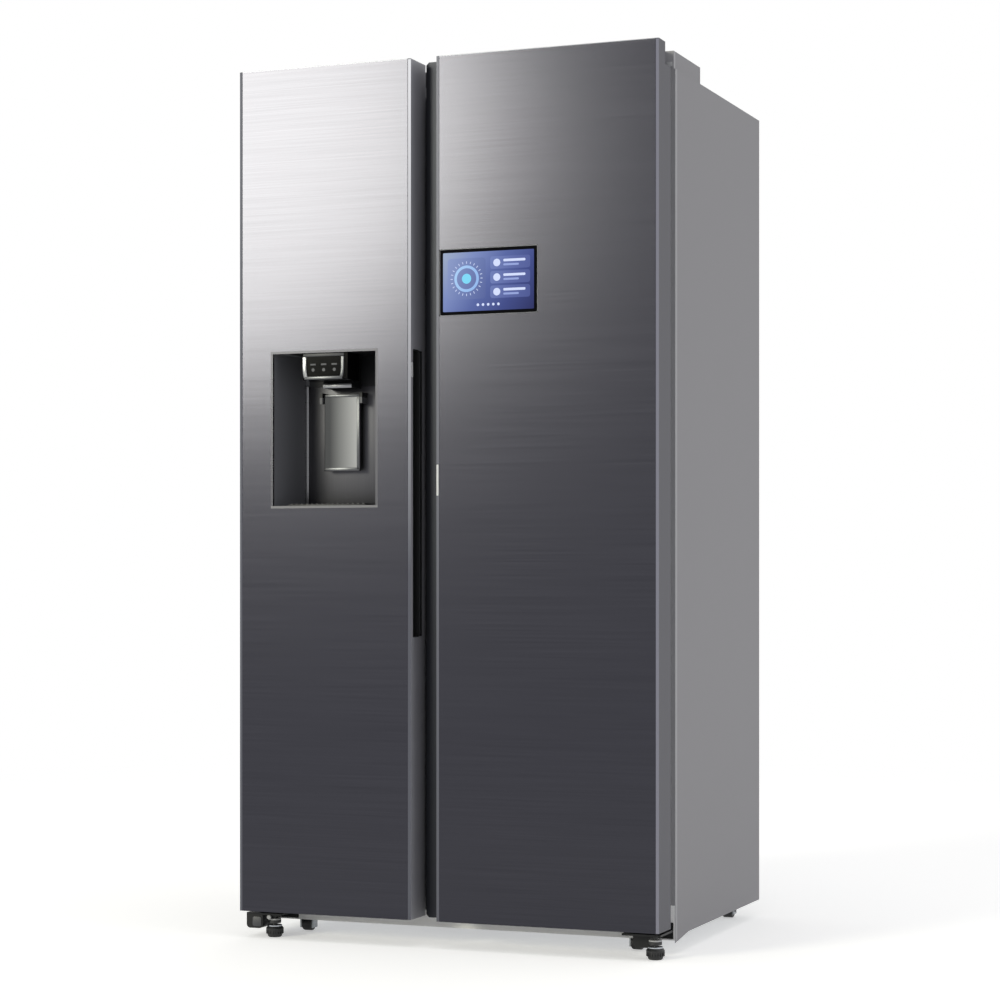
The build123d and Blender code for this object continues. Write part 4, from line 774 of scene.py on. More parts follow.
# ---------------------------------------------------------------- assemblies
@dataclass
class Assembly:
    """A sub-assembly: dresses its nodes of the frame and adds pieces to its body.

    Its sizes are fields. A span whose name ends in x, y or z holds two offsets along that axis, from
    the edge or the middle of the node that carries the piece.
    """

    body: str
    frame: dict
    recipes: dict[Repeat, Recipe]

    def dress(self, look: Look, *nodes: str) -> None:
        """Gives nodes of the frame their finish.

        Args:
            look: What they are made of.
            nodes: Their names.
        """
        for name in nodes:
            node = self.frame["nodes"][name]
            node.data.materials.clear()
            node.data.materials.append(look.material())
            LOG.info("%s: %s", name, look.name)

    def settle(self, piece: bpy.types.Object, look: Look, body: str | None = None) -> bpy.types.Object:
        """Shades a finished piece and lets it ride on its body.

        Args:
            piece: The object, with its place in its mesh.
            look: What it is made of.
            body: The body it rides on, if not the assembly's own.

        Returns:
            The piece.
        """
        mesh = piece.data
        mesh.materials.clear()
        mesh.materials.append(look.material())
        mesh.polygons.foreach_set("material_index", [0] * len(mesh.polygons))
        mesh.shade_smooth()
        mesh.set_sharp_from_angle(angle=SHARP)
        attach(piece, body or self.body)
        LOG.info("%s: %d faces, %s", piece.name, len(mesh.polygons), look.name)
        return piece

    def piece(self, name: str, shape: bmesh.types.BMesh, look: Look,
              body: str | None = None) -> bpy.types.Object:
        """Places a shape made in millimetres as a piece of its own.

        Args:
            name: The piece's name.
            shape: The shape, which is used up.
            look: What it is made of.
            body: The body it rides on, if not the assembly's own.

        Returns:
            The piece.
        """
        bmesh.ops.scale(shape, vec=(MM, MM, MM), verts=shape.verts)
        mesh = bpy.data.meshes.new(name)
        shape.to_mesh(mesh)
        shape.free()
        made = bpy.data.objects.new(name, mesh)
        bpy.context.scene.collection.objects.link(made)
        return self.settle(made, look, body)

    def repeated(self, way: Repeat, name: str, look: Look, sizes: dict[str, object],
                 body: str | None = None) -> bpy.types.Object:
        """Places a repeated shape.

        Args:
            way: How it is repeated.
            name: The piece's name.
            look: What it is made of.
            sizes: Values for the recipe's inputs.
            body: The body it rides on, if not the assembly's own.

        Returns:
            The piece.
        """
        return self.settle(self.recipes[way].make(name, look, sizes), look, body)

    def copies(self, name: str, shape: bmesh.types.BMesh, look: Look,
               places: list[Vector]) -> bpy.types.Object:
        """Places copies of a small shape.

        Args:
            name: The piece's name.
            shape: The shape, drawn round the origin, which is used up.
            look: What it is made of.
            places: Where a copy stands.

        Returns:
            The piece.
        """
        mesh = bpy.data.meshes.new(name + "_one")
        shape.to_mesh(mesh)
        shape.free()
        one = bpy.data.objects.new(name + "_one", mesh)
        bpy.context.scene.collection.objects.link(one)
        made = self.recipes[Repeat.COPIES].make(name, look, {"Piece": one}, places)
        bpy.data.objects.remove(one)
        bpy.data.meshes.remove(mesh)
        return self.settle(made, look)


@dataclass
class Cabinet(Assembly):
    """The case, its back, base and the hinges that stand on it."""

    # The lighter front edge of the case is a painted highlight.
    edge_width: float = 12.0
    edge_grey: str = "#939397"
    screw_radius: float = 4.5
    screw_height: float = 2.2
    screw_inset: float = 16.0
    screw_rows: int = 5
    swages: int = 6
    swage_margin: float = 70.0
    swage_width: float = 16.0
    swage_height: float = 7.6
    swage_sunk: float = 0.4
    swage_corner: float = 3.0
    louvre_rows: int = 9
    louvre_pitch: float = 16.0
    louvre_length: float = 240.0
    louvre_first: float = 38.5
    louvre_off: float = 0.6
    louvre_depth: float = 3.4
    louvre_height: float = 3.6
    louvre_corner: float = 1.2
    pin_back: float = 34.0
    pin_inset: float = 24.0
    pin_cap: tuple[Point, ...] = ((0, 0), (11.5, 0), (11.5, 9), (10, 11), (0, 11.5))
    pin_cap_foot: float = 4.0
    tab_x: Span = (3.0, 15.0)
    tab_y: Span = (0.6, 3.8)
    tab_z: Span = (5.0, 14.0)
    lid_x: Span = (12.0, 70.0)
    lid_y: Span = (12.8, -14.0)
    lid_z: Span = (-1.5, 0.8)
    lid_corner: float = 8.0
    switch_x: Span = (-40.0, 12.0)
    switch_y: Span = (1.5, 20.0)
    switch_z: Span = (-0.5, 33.0)
    switch_bevel: float = 2.0

    def build(self) -> None:
        """Dresses the case and adds its small pieces."""
        case = Box.of("outer_case")
        # Painted highlight: a lighter grey band along the case's front edge, where the bend of the sheet
        # catches light.
        edge = Band(((Axis.Y, (case.y[0], case.y[0] + self.edge_width)),), self.edge_grey, 0.4)
        enamel = replace(CASE_ENAMEL, bands=(edge,))
        self.dress(enamel, "outer_case", "hinge_covers")
        self.dress(GALVANISED, "back_panel", "base_frame")
        # The rail's near-white enamel is partly painted light.
        self.dress(RAIL_ENAMEL_PAINTED_LIGHT, "front_rail")
        self.dress(BLACK_STEEL, "machine_cover", "hinge_brackets")
        self.dress(FOAM, "foam_insulation")
        self.screws()
        self.back_swages()
        self.louvres()
        self.pin_caps()
        self.hinge_covers(enamel)
        self.switch_housing()

    def screws(self) -> None:
        """Cross-recess screws that hold the back panel and the compressor cover."""
        heads, panel, cover = Box.of("case_screws"), Box.of("back_panel"), Box.of("machine_cover")
        reach = heads.x[1] - self.screw_radius
        low, high = inset(heads.z, self.screw_radius)
        start = panel.z[0] + self.screw_inset
        steps = [i / (self.screw_rows - 1) for i in range(self.screw_rows)]
        places = [Vector((side.value * reach, panel.y[1], start + (high - start) * i))
                  for side in Side for i in steps]
        places += [Vector((-reach + 2 * reach * i, cover.y[1], low)) for i in steps]
        screws = self.copies("back_screws", cross_screw(self.screw_radius, self.screw_height), ZINC, places)
        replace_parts(screws, "case_screws")

    def back_swages(self) -> None:
        """Shallow upright swages pressed into the back panel to stiffen it."""
        panel = Box.of("back_panel")
        margin = self.swage_margin
        step = (panel.size(Axis.X) - 2 * margin) / (self.swages - 1)
        self.repeated(Repeat.BARS, "back_swages", GALVANISED, {
            "Count": self.swages, "Step": (step, 0, 0), "Reach": (0, 0, panel.size(Axis.Z) - 2 * margin),
            "Start": (panel.x[0] + margin, panel.y[1] - self.swage_sunk, panel.z[0] + margin),
            "Width": self.swage_width, "Height": self.swage_height, "Corner": self.swage_corner})

    def louvres(self) -> None:
        """A pressed hood over each air slot of the compressor cover."""
        cover = Box.of("machine_cover")
        for side, edge in zip(Side, cover.x):
            start = ((edge - self.louvre_length) / 2, cover.y[1] + self.louvre_off,
                     cover.z[0] + self.louvre_first)
            self.repeated(Repeat.BARS, f"louvre_hoods_{side.label}", BLACK_STEEL, {
                "Count": self.louvre_rows, "Start": start, "Step": (0, 0, self.louvre_pitch),
                "Reach": (self.louvre_length, 0, 0), "Width": self.louvre_depth, "Height": self.louvre_height,
                "Corner": self.louvre_corner})

    def pin_caps(self) -> None:
        """Caps over the hinge pins."""
        reach = Box.of("outer_case").x[1] - self.pin_inset
        pin_y = Box.of("hinge_brackets").y[0] + self.pin_back
        foot = Box.of("hinge_covers").z[0] + self.pin_cap_foot
        profile = [(radius, foot + up) for radius, up in self.pin_cap]
        for side in Side:
            cap = turned(profile, Axis.Z, (side.value * reach, pin_y))
            self.piece(f"hinge_pin_cap_{side.label}", cap, LIGHT_ABS)

    def hinge_covers(self, enamel: Finish) -> None:
        """Tabs on the front of the hinge covers and lids on their tops.

        Args:
            enamel: The case's finish, for the lids.
        """
        cover, front = Box.of("hinge_covers"), Box.of("outer_case").y[0]
        end = cover.x[1]
        tabs = [slab(side.span(end - self.tab_x[0], end - self.tab_x[1]), beside(front, self.tab_y),
                     beside(cover.z[0], self.tab_z)) for side in Side]
        self.piece("hinge_cover_tabs", joined(*tabs), LIGHT_ABS)
        depth = (front + self.lid_y[0], cover.y[1] + self.lid_y[1])
        for side in Side:
            outline = rounded(side.span(end - self.lid_x[0], end - self.lid_x[1]), depth, self.lid_corner)
            lid = extruded(outline, Axis.Z, beside(cover.z[1], self.lid_z), bevel=0.4)
            self.piece(f"hinge_cover_panel_{side.label}", lid, enamel)

    def switch_housing(self) -> None:
        """The housing of the door switches, on the case's top behind the gap between the doors."""
        case, rail = Box.of("outer_case"), Box.of("fridge_grip_rail")
        housing = slab(beside(rail.x[0], self.switch_x), beside(case.y[0], self.switch_y),
                       beside(case.z[1], self.switch_z), self.switch_bevel)
        self.piece("door_switch_housing", housing, GREY_ABS)


class DoorKind(Enum):
    """The cavity that a door closes, as its nodes are named."""

    FREEZER = "freezer"
    FRIDGE = "fridge"


@dataclass
class Door(Assembly):
    """What both doors have: skin, foam, inner panel, seal and end caps."""

    kind: DoorKind = DoorKind.FREEZER
    bevel: float = 6.0
    edge_drop: float = 1.6
    top_edge: float = 1.5
    sheen_start: float = 700.0
    edge_roughness: float = 0.3
    return_roughness: float = 0.45
    # The edge colours are a painted highlight: the bevels and the top edge are lighter than the door's face.
    left_edge: str = "#5A5B62"
    right_edge: str = "#5A5B62"
    left_return: str = "#66666F"
    right_return: str = "#66666F"
    right_sheen: str = "#7C7C86"
    liner_rim: float = 2.5
    rim_grey: str = "#34353C"
    seal_insets: tuple[float, float, float] = (1.2, 7.0, 12.8)
    seal_radii: tuple[float, float, float] = (1.6, 6.2, 1.6)
    seal_corner: float = 3.0

    def steel(self) -> Finish:
        """The door's sheet, with its edges.

        Returns:
            Its steel. Both bevels and the top edge are painted lighter than the face, a painted highlight,
            and the right bevel's painted sheen grows paler upwards. The returns at the sides are lacquered;
            the right return's grey is painted light and shade, set for each door.
        """
        skin = Box.of(f"{self.kind.value}_door_skin")
        low, high = skin.x
        left = (Axis.X, (low - PAST, low + self.bevel))
        right = (Axis.X, (high - self.bevel, high + PAST))
        rise = (Axis.Z, (skin.z[0] + self.sheen_start, skin.z[1]))
        sides = (Axis.Y, (skin.y[0] + self.edge_drop, skin.y[1] + PAST))
        highlight_roughness, lacquer = self.edge_roughness, self.return_roughness
        return replace(DOOR_STEEL, name=f"brushed_dark_stainless_{self.kind.value}", bands=(
            # Painted highlight on the bevels and the top edge, and painted light and shade on the right
            # return.
            Band((left,), self.left_edge, highlight_roughness),
            Band((right,), self.right_edge, highlight_roughness),
            Band((right,), self.right_sheen, highlight_roughness, fade=rise),
            Band(((Axis.Z, (skin.z[1] - self.top_edge, skin.z[1] + PAST)),), self.left_edge, highlight_roughness),
            Band((sides, (Axis.X, (low - PAST, low + PAST))), self.left_return, lacquer, painted=True),
            Band((sides, (Axis.X, (high - PAST, high + PAST))), self.right_return, lacquer, painted=True),
        ))

    def build(self) -> None:
        """Dresses the door and adds its seal."""
        kind = self.kind.value
        self.dress(self.steel(), f"{kind}_door_skin")
        self.dress(FOAM, f"{kind}_door_core")
        liner = Box.of(f"{kind}_door_liner")
        rims = tuple(Band(((Axis.X, beside(edge, (-self.liner_rim, self.liner_rim))),), self.rim_grey, 0.5)
                     for edge in liner.x)
        panel = replace(LINER_WHITE, name=f"formed_polystyrene_{kind}_door", bands=rims)
        self.dress(panel, f"{kind}_door_liner")
        self.dress(GREY_ABS, f"{kind}_door_caps")
        self.dress(CLEAR, f"{kind}_bins")
        self.seal()

    def seal(self) -> None:
        """The bellows of the magnetic seal: three beads that follow its frame."""
        node = f"{self.kind.value}_door_gasket"
        self.dress(SEAL_PVC, node)
        gasket = Box.of(node)
        for number, (inward, bead) in enumerate(zip(self.seal_insets, self.seal_radii), 1):
            self.repeated(Repeat.LOOP, f"{self.kind.value}_seal_bead_{number}", SEAL_PVC, {
                "Centre": tuple(gasket.middle(axis) for axis in Axis),
                "Width": gasket.size(Axis.X) - 2 * inward, "Height": gasket.size(Axis.Z) - 2 * inward,
                "Corner": self.seal_corner, "Bead": bead})


@dataclass
class FreezerDoor(Door):
    """The left door, with the finger pocket in its free side and the ice works on its back."""

    # Painted light: the right return is paler, to make up for the shade of the gap between the doors, and the
    # right bevel's painted sheen is near white.
    right_return: str = "#9C9CA4"
    right_sheen: str = "#D6D7DC"
    lamp_y: Span = (3.5, 11.0)
    lamp_z: Span = (-58.0, -27.0)
    lamp_x: Span = (-0.5, 0.8)
    strip_x: Span = (-0.4, 0.3)
    strip_y: Span = (-11.0, -3.0)
    strip_inset: float = 6.0
    cover_inset: float = 16.0
    cover_corner: float = 10.0
    cover_y: Span = (-1.0, 1.2)
    pull_half: float = 36.0
    pull_y: Span = (0.8, 5.0)
    pull_z: Span = (24.0, 34.0)
    pull_bevel: float = 1.6

    def build(self) -> None:
        """Dresses the door and adds the small parts of its side and back."""
        super().build()
        self.dress(BLACK_ABS, "handle_pocket")
        self.dress(CLEAR, "ice_bucket")
        self.dress(LINER_WHITE, "ice_maker")
        self.pocket_parts()
        self.ice_maker_front()

    def pocket_parts(self) -> None:
        """A pale opal insert at the top of the finger pocket and the satin strip along its rear."""
        pocket, skin = Box.of("handle_pocket"), Box.of("freezer_door_skin")
        outline = rounded(beside(skin.y[0], self.lamp_y), beside(pocket.z[1], self.lamp_z), self.lamp_y[0])
        self.piece("pocket_light", extruded(outline, Axis.X, beside(skin.x[1], self.lamp_x), bevel=0.3),
                   OPAL)
        strip = slab(beside(pocket.x[1], self.strip_x), beside(pocket.y[1], self.strip_y),
                     inset(pocket.z, self.strip_inset), bevel=0.2)
        self.piece("pocket_rear_strip", strip, SATIN)

    def ice_maker_front(self) -> None:
        """A framed cover plate and a pull on the ice maker."""
        maker = Box.of("ice_maker")
        outline = rounded(inset(maker.x, self.cover_inset), inset(maker.z, self.cover_inset),
                          self.cover_corner)
        cover = extruded(outline, Axis.Y, beside(maker.y[1], self.cover_y), bevel=0.5)
        self.piece("ice_maker_cover", cover, LINER_WHITE)
        pull = slab(beside(maker.middle(Axis.X), (-self.pull_half, self.pull_half)),
                    beside(maker.y[1], self.pull_y), beside(maker.z[0], self.pull_z), self.pull_bevel)
        self.piece("ice_maker_pull", pull, LIGHT_ABS)


@dataclass
class Dispenser(Assembly):
    """The water and ice dispenser in the freezer door."""

    trim_width: float = 5.0
    trim_right: str = "#3C3C41"
    # The frame's lighter foot is a painted highlight.
    trim_foot: str = "#4C4C50"
    wall: float = 3.0
    side_taper: float = 22.0
    shade_start: float = 70.0
    shade: str = "#18191C"
    # The paddle's paler right part is a painted sheen.
    sheen_start: float = 20.0
    sheen: str = "#77787C"
    plate_drop: float = 62.0
    plate_y: Span = (-1.4, 0.2)
    strip_x: Span = (-1.5, 8.0)
    strip_y: Span = (-4.2, -0.6)
    strip_over: float = 2.0
    floor_gap: float = 0.5
    bar_inset: float = 7.0
    bar_y: Span = (-2.4, 0.8)
    bar_z: Span = (3.0, -8.0)
    left_bar: float = 8.5
    right_bar: float = 7.0
    taper: float = 3.0
    bar_outer: tuple[Point, ...] = ((0.0, 20.0), (1.35, 8.0), (3.0, 2.0))
    bar_inner: tuple[Point, ...] = ((3.0, 2.0), (1.35, 9.0), (0.0, 20.0))
    foot_bar_z: Span = (-2.5, 4.0)
    brow_y: Span = (-1.2, 0.4)
    brow_z: Span = (1.0, 7.5)
    mark_pitch: float = 24.0
    mark_length: float = 12.0
    mark_height: float = 3.4
    mark_rise: float = 4.0
    mark_off: float = 0.15
    dot_drop: float = 7.0
    dot_off: float = 0.25
    dot: tuple[Point, ...] = ((0, 0), (3.4, 0), (3.4, 0.3), (0, 0.3))
    lip_y: Span = (-2.5, 1.0)
    lip_z: Span = (-0.5, 10.0)
    lip_bevel: float = 1.6
    paddle_inset: float = 7.0
    paddle_y: Span = (-0.5, 3.0)
    paddle_side: Span = (-6.5, 0.3)
    paddle_foot: Span = (-0.3, 7.0)
    paddle_head: Span = (-6.0, 0.3)
    paddle_bevel: float = 0.9
    tray_y: Span = (12.0, -26.0)
    tray_inset: float = 6.0
    tray_height: float = 3.0
    slats: int = 15
    slat_side: float = 7.0
    slat_end: float = 5.0
    slat_rise: float = 3.6
    slat_width: float = 4.0
    slat_height: float = 2.4
    slat_corner: float = 0.7

    def build(self) -> None:
        """Dresses the recess and adds its panel frame, plates and grille."""
        trim, housing, paddle = (Box.of(f"dispenser_{part}") for part in ("trim", "housing", "lever"))
        right = Band(((Axis.X, (trim.x[1] - self.trim_width, trim.x[1] + PAST)),), self.trim_right, 0.32)
        # Painted highlight: the frame's foot is lighter, where its lower bar catches light.
        foot = Band(((Axis.Z, (trim.z[0] - PAST, trim.z[0] + self.trim_width)),), self.trim_foot, 0.34)
        self.dress(replace(TRIM_STEEL, bands=(right, foot)), "dispenser_trim")
        upper = (Axis.Z, (housing.middle(Axis.Z) + self.shade_start, housing.z[1] + PAST))
        inner = (Axis.X, (self.recess().x[0] + self.strip_x[1], housing.x[1] + PAST))
        shade = Band((inner, upper), self.shade, 0.5)
        self.dress(replace(RECESS_ABS, bands=(shade,)), "dispenser_housing")
        self.dress(BLACK_GLASS, "dispenser_panel")
        self.dress(BLACK_ABS, "ice_chute")
        # Painted sheen: the paddle turns paler towards its right, a painted highlight.
        sheen = Band(((Axis.X, inset(paddle.x, -PAST)),), self.sheen, 0.46,
                     fade=(Axis.X, (paddle.x[0] + self.sheen_start, paddle.x[1])))
        self.dress(replace(PADDLE_STEEL, bands=(sheen,)), "dispenser_lever")
        self.back_plate()
        self.panel_frame()
        self.touch_marks()
        self.chute_lip()
        self.paddle_edges()
        self.drip_tray()

    def recess(self) -> Box:
        """The open space of the recess at its back wall.

        Returns:
            Its limits.
        """
        trim, wall = Box.of("dispenser_trim"), Box.of("dispenser_housing").y[1] - self.wall
        return Box(inset(trim.x, self.trim_width + self.side_taper), (trim.y[0], wall),
                   inset(trim.z, self.trim_width))

    def back_plate(self) -> None:
        """The graphite plate on the back wall, with a bright strip along its left edge."""
        space = self.recess()
        back, low, top = space.y[1], space.z[0] + self.floor_gap, space.z[1] - self.plate_drop
        plate = slab(inset(space.x, 1), beside(back, self.plate_y), (low, top))
        self.piece("dispenser_back_plate", plate, GRAPHITE)
        strip = slab(beside(space.x[0], self.strip_x), beside(back, self.strip_y),
                     (low, top + self.strip_over), bevel=0.8)
        self.piece("dispenser_corner_strip", strip, BRIGHT)

    def panel_frame(self) -> None:
        """The silver frame of the touch panel: two side bars that lean in, a lower and an upper bar."""
        panel = Box.of("dispenser_panel")
        left, right = panel.x[0], panel.x[1] - self.bar_inset
        low, high = panel.z[0] + self.bar_z[0], panel.z[1] + self.bar_z[1]
        depth = beside(panel.y[0], self.bar_y)
        # The left bar gets the bright finish and the right and lower bars a dimmer copy: one silver frame,
        # with painted light on the left and painted shade on the right and below.
        for side, edge, width, look in ((Side.LEFT, left, self.left_bar, BRIGHT),
                                        (Side.RIGHT, right, self.right_bar, PAINTED_EDGE_LIGHT)):
            outer = [(0, high), *((x, low + z) for x, z in self.bar_outer)]
            inner = [*((x + width, low + z) for x, z in self.bar_inner), (width, high)]
            bar = [(edge - side.value * x, z) for x, z in outer + inner]
            self.piece(f"panel_side_bar_{side.label}", extruded(bar, Axis.Y, depth, bevel=0.6), look)
        lower = slab(inset((left, right), self.taper + 1), depth, beside(low, self.foot_bar_z), bevel=0.9)
        self.piece("panel_lower_bar", lower, PAINTED_EDGE_LIGHT)
        upper = slab(inset((left, right), 1), beside(panel.y[0], self.brow_y), beside(high, self.brow_z))
        self.piece("panel_upper_bar", upper, GREY_ABS)

    def touch_marks(self) -> None:
        """Plain printed marks: three short bars in a row and a dot under each."""
        panel = Box.of("dispenser_panel")
        middle = panel.middle(Axis.X) - self.bar_inset / 2
        front, z, pitch = panel.y[0], panel.middle(Axis.Z), self.mark_pitch
        start = (middle - pitch - self.mark_length / 2, front - self.mark_off, z + self.mark_rise)
        self.repeated(Repeat.BARS, "touch_bars", CERAMIC_INK, {
            "Count": 3, "Start": start, "Step": (pitch, 0, 0), "Reach": (self.mark_length, 0, 0),
            "Width": 0.4, "Height": self.mark_height, "Corner": 0.15})
        places = [Vector((middle + pitch * i, front - self.dot_off, z - self.dot_drop)) for i in (-1, 0, 1)]
        self.copies("touch_dots", turned(self.dot, Axis.Y, steps=20), CERAMIC_INK, places)

    def chute_lip(self) -> None:
        """The bright rounded lip under the ice chute's front edge."""
        chute = Box.of("ice_chute")
        lip = slab(inset(chute.x, 1), beside(chute.y[0], self.lip_y), beside(chute.z[0], self.lip_z),
                   self.lip_bevel)
        self.piece("ice_chute_lip", lip, BRIGHT)

    def paddle_edges(self) -> None:
        """Lighter strips round the paddle: its right side, its foot and its top, a painted highlight on its
        edges.
        """
        lever = Box.of("dispenser_lever")
        left, right = inset(lever.x, self.paddle_inset)
        depth, across = beside(lever.y[0], self.paddle_y), (left + 2, right - 1)
        edges = ((beside(right, self.paddle_side), inset(lever.z, 3)),
                 (across, beside(lever.z[0], self.paddle_foot)),
                 (across, beside(lever.z[1], self.paddle_head)))
        bars = [slab(x, depth, z, self.paddle_bevel) for x, z in edges]
        self.piece("paddle_edges", joined(*bars), PAINTED_EDGE_LIGHT, "dispenser_lever")

    def drip_tray(self) -> None:
        """A tray on the recess's floor, with a slatted grille."""
        space = self.recess()
        tray = Box(inset(space.x, self.tray_inset),
                   (space.y[0] + self.tray_y[0], space.y[1] + self.tray_y[1]),
                   beside(space.z[0], (0, self.tray_height)))
        self.piece("drip_tray", slab(tray.x, tray.y, tray.z, bevel=0.8), BLACK_ABS)
        side, end = self.slat_side, self.slat_end
        self.repeated(Repeat.BARS, "drip_grille", GREY_ABS, {
            "Count": self.slats, "Step": ((tray.size(Axis.X) - 2 * side) / (self.slats - 1), 0, 0),
            "Start": (tray.x[0] + side, tray.y[0] + end, space.z[0] + self.slat_rise),
            "Reach": (0, tray.size(Axis.Y) - 2 * end, 0), "Width": self.slat_width,
            "Height": self.slat_height, "Corner": self.slat_corner})


@dataclass
class FridgeDoor(Door):
    """The right door, with the grip rail along its free side."""

    kind: DoorKind = DoorKind.FRIDGE
    # Painted light and shade: this door's right bevel is lighter, and its right return darker, than on the
    # other door, for how light falls on this side.
    right_edge: str = "#7C7C86"
    right_return: str = "#30303A"
    rail_left_rim: float = 7.0
    rail_right_rim: float = 9.0
    rail_grey: str = "#242529"
    sensor_x: Span = (0.6, 5.0)
    sensor_y: Span = (0.1, 1.6)
    sensor_z: Span = (20.0, 83.0)

    def build(self) -> None:
        """Dresses the door and its grip rail, and adds the door sensor."""
        super().build()
        left, right = Box.of("fridge_grip_rail").x
        # Painted shade: darker rims at both ends of the rail, where the doors' sides shade it.
        rims = ((left - PAST, left + self.rail_left_rim), (right - self.rail_right_rim, right + PAST))
        bands = tuple(Band(((Axis.X, rim),), self.rail_grey, 0.4) for rim in rims)
        self.dress(replace(GRIP_SATIN, bands=bands), "fridge_grip_rail")
        self.dress(CLEAR, "dairy_cover")
        skin, recess = Box.of("fridge_door_skin"), Box.of("dispenser_housing")
        outline = rounded(beside(skin.x[0], self.sensor_x), beside(recess.z[0], self.sensor_z), corner=2.0)
        sensor = extruded(outline, Axis.Y, beside(skin.y[0], self.sensor_y), bevel=0.2)
        self.piece("door_sensor", sensor, OPAL)


@dataclass
class TouchScreen(Assembly):
    """The display in the fridge door: black glass, a thin border and a plain picture of its own."""

    bezel: float = 8.0
    glass_sunk: float = 0.5
    border: float = 0.8
    border_sunk: float = 1.0
    border_corner: float = 3.0
    layer: float = 0.12
    disc_depth: float = 0.1
    set_back: float = 0.34
    depth: float = 0.26
    card_x: Span = (10.0, 92.0)
    card_z: Span = (24.0, 106.0)
    card_corner: float = 7.0
    gauge_ring: Span = (21.0, 26.5)
    gauge_middle: float = 10.0
    marks: int = 24
    mark_ring: float = 30.0
    mark_length: float = 4.6
    mark_width: float = 1.3
    tiles: int = 3
    tile_x: Span = (102.0, -8.0)
    tile_foot: float = 24.0
    tile_pitch: float = 29.0
    tile_height: float = 25.0
    tile_corner: float = 5.0
    tile_mark_across: float = 14.0
    tile_mark_radius: float = 7.5
    bar_x: Span = (28.0, -10.0)
    bar_z: Span = (14.0, 19.0)
    line_x: Span = (28.0, -24.0)
    line_z: Span = (6.0, 10.0)
    dot: tuple[Point, ...] = ((0, 0), (2.8, 0), (2.8, 0.1), (0, 0.1))
    dot_pitch: float = 11.0
    dot_rise: float = 12.0

    def build(self) -> None:
        """Builds the glass, its border and the lit picture."""
        screen = Box.of("touch_display")
        front = screen.y[0]
        glass = slab(screen.x, (front + self.glass_sunk, screen.y[1]), screen.z, bevel=0.6)
        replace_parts(self.piece("display_glass", glass, COATED_GLASS), "touch_display")
        self.repeated(Repeat.LOOP, "display_border", SATIN, {
            "Centre": (screen.middle(Axis.X), front + self.border_sunk, screen.middle(Axis.Z)),
            "Width": screen.size(Axis.X) - 2 * self.border, "Height": screen.size(Axis.Z) - 2 * self.border,
            "Corner": self.border_corner, "Bead": self.border})
        picture = Box(inset(screen.x, self.bezel), beside(self.level(0), (0, self.depth)),
                      inset(screen.z, self.bezel))
        lit = Glow("screen_picture", "black_glass", ("#9FADC6", "#7C8CC0", "#5766A2", "#3F4A86", "#2A2F60"),
                   picture)
        outline = rounded(picture.x, picture.z, corner=2)
        self.piece("display_picture", extruded(outline, Axis.Y, picture.y), lit)
        self.gauge(picture)
        self.rows(picture)
        self.dots(picture)

    def level(self, layers: int) -> float:
        """The place on Y of the picture's ground, or of some layers in front of it."""
        return Box.of("touch_display").y[0] + self.set_back - self.layer * layers

    def flat(self, name: str, x: Span, z: Span, corner: float, layers: int, look: Look) -> None:
        """A flat shape of the picture.

        Args:
            name: The piece's name.
            x, z: Its limits.
            corner: Its corners' radius.
            layers: How many layers it stands in front of the ground.
            look: Its light.
        """
        depth = beside(self.level(layers), (0, self.layer * 1.5))
        self.piece(name, extruded(rounded(x, z, corner, steps=4), Axis.Y, depth), look)

    def disc(self, name: str, middle: Point, radius: float, look: Look) -> None:
        """A flat disc of the picture.

        Args:
            name: The piece's name.
            middle: Its place on X and Z.
            radius: Its radius.
            look: Its light.
        """
        front, back = beside(self.level(2), (0, self.disc_depth))
        profile = [(0, front), (radius, front), (radius, back), (0, back)]
        self.piece(name, turned(profile, Axis.Y, middle, steps=40), look)

    def gauge(self, picture: Box) -> None:
        """A card with a round gauge: a ring, marks round it and a bright middle.

        Args:
            picture: The lit picture's limits.
        """
        x, z = beside(picture.x[0], self.card_x), beside(picture.z[0], self.card_z)
        card = Box(x, picture.y, z)
        self.flat("screen_gauge_card", x, z, self.card_corner, layers=1,
                  look=Glow("screen_card", "black_glass", ("#8C9BC8", "#7080B4", "#56639C"), card))
        middle = (sum(x) / 2, sum(z) / 2)
        inner, outer = self.gauge_ring
        front, back = beside(self.level(2), (0, self.disc_depth))
        ring = [(inner, front), (outer, front), (outer, back), (inner, back), (inner, front)]
        self.piece("screen_gauge_ring", turned(ring, Axis.Y, middle, steps=64),
                   Glow("screen_ring", "black_glass", ("#B4D8FA", "#86ACE8"), card))
        self.repeated(Repeat.RING, "screen_gauge_marks", PALE_MARK, {
            "Count": self.marks, "Radius": self.mark_ring,
            "Centre": (middle[0], (front + back) / 2, middle[1]), "Turn": (math.pi / 2, 0, 0),
            "Reach": (self.mark_length, 0, 0), "Width": self.mark_width, "Height": self.disc_depth})
        self.disc("screen_gauge_middle", middle, self.gauge_middle, CYAN_MARK)

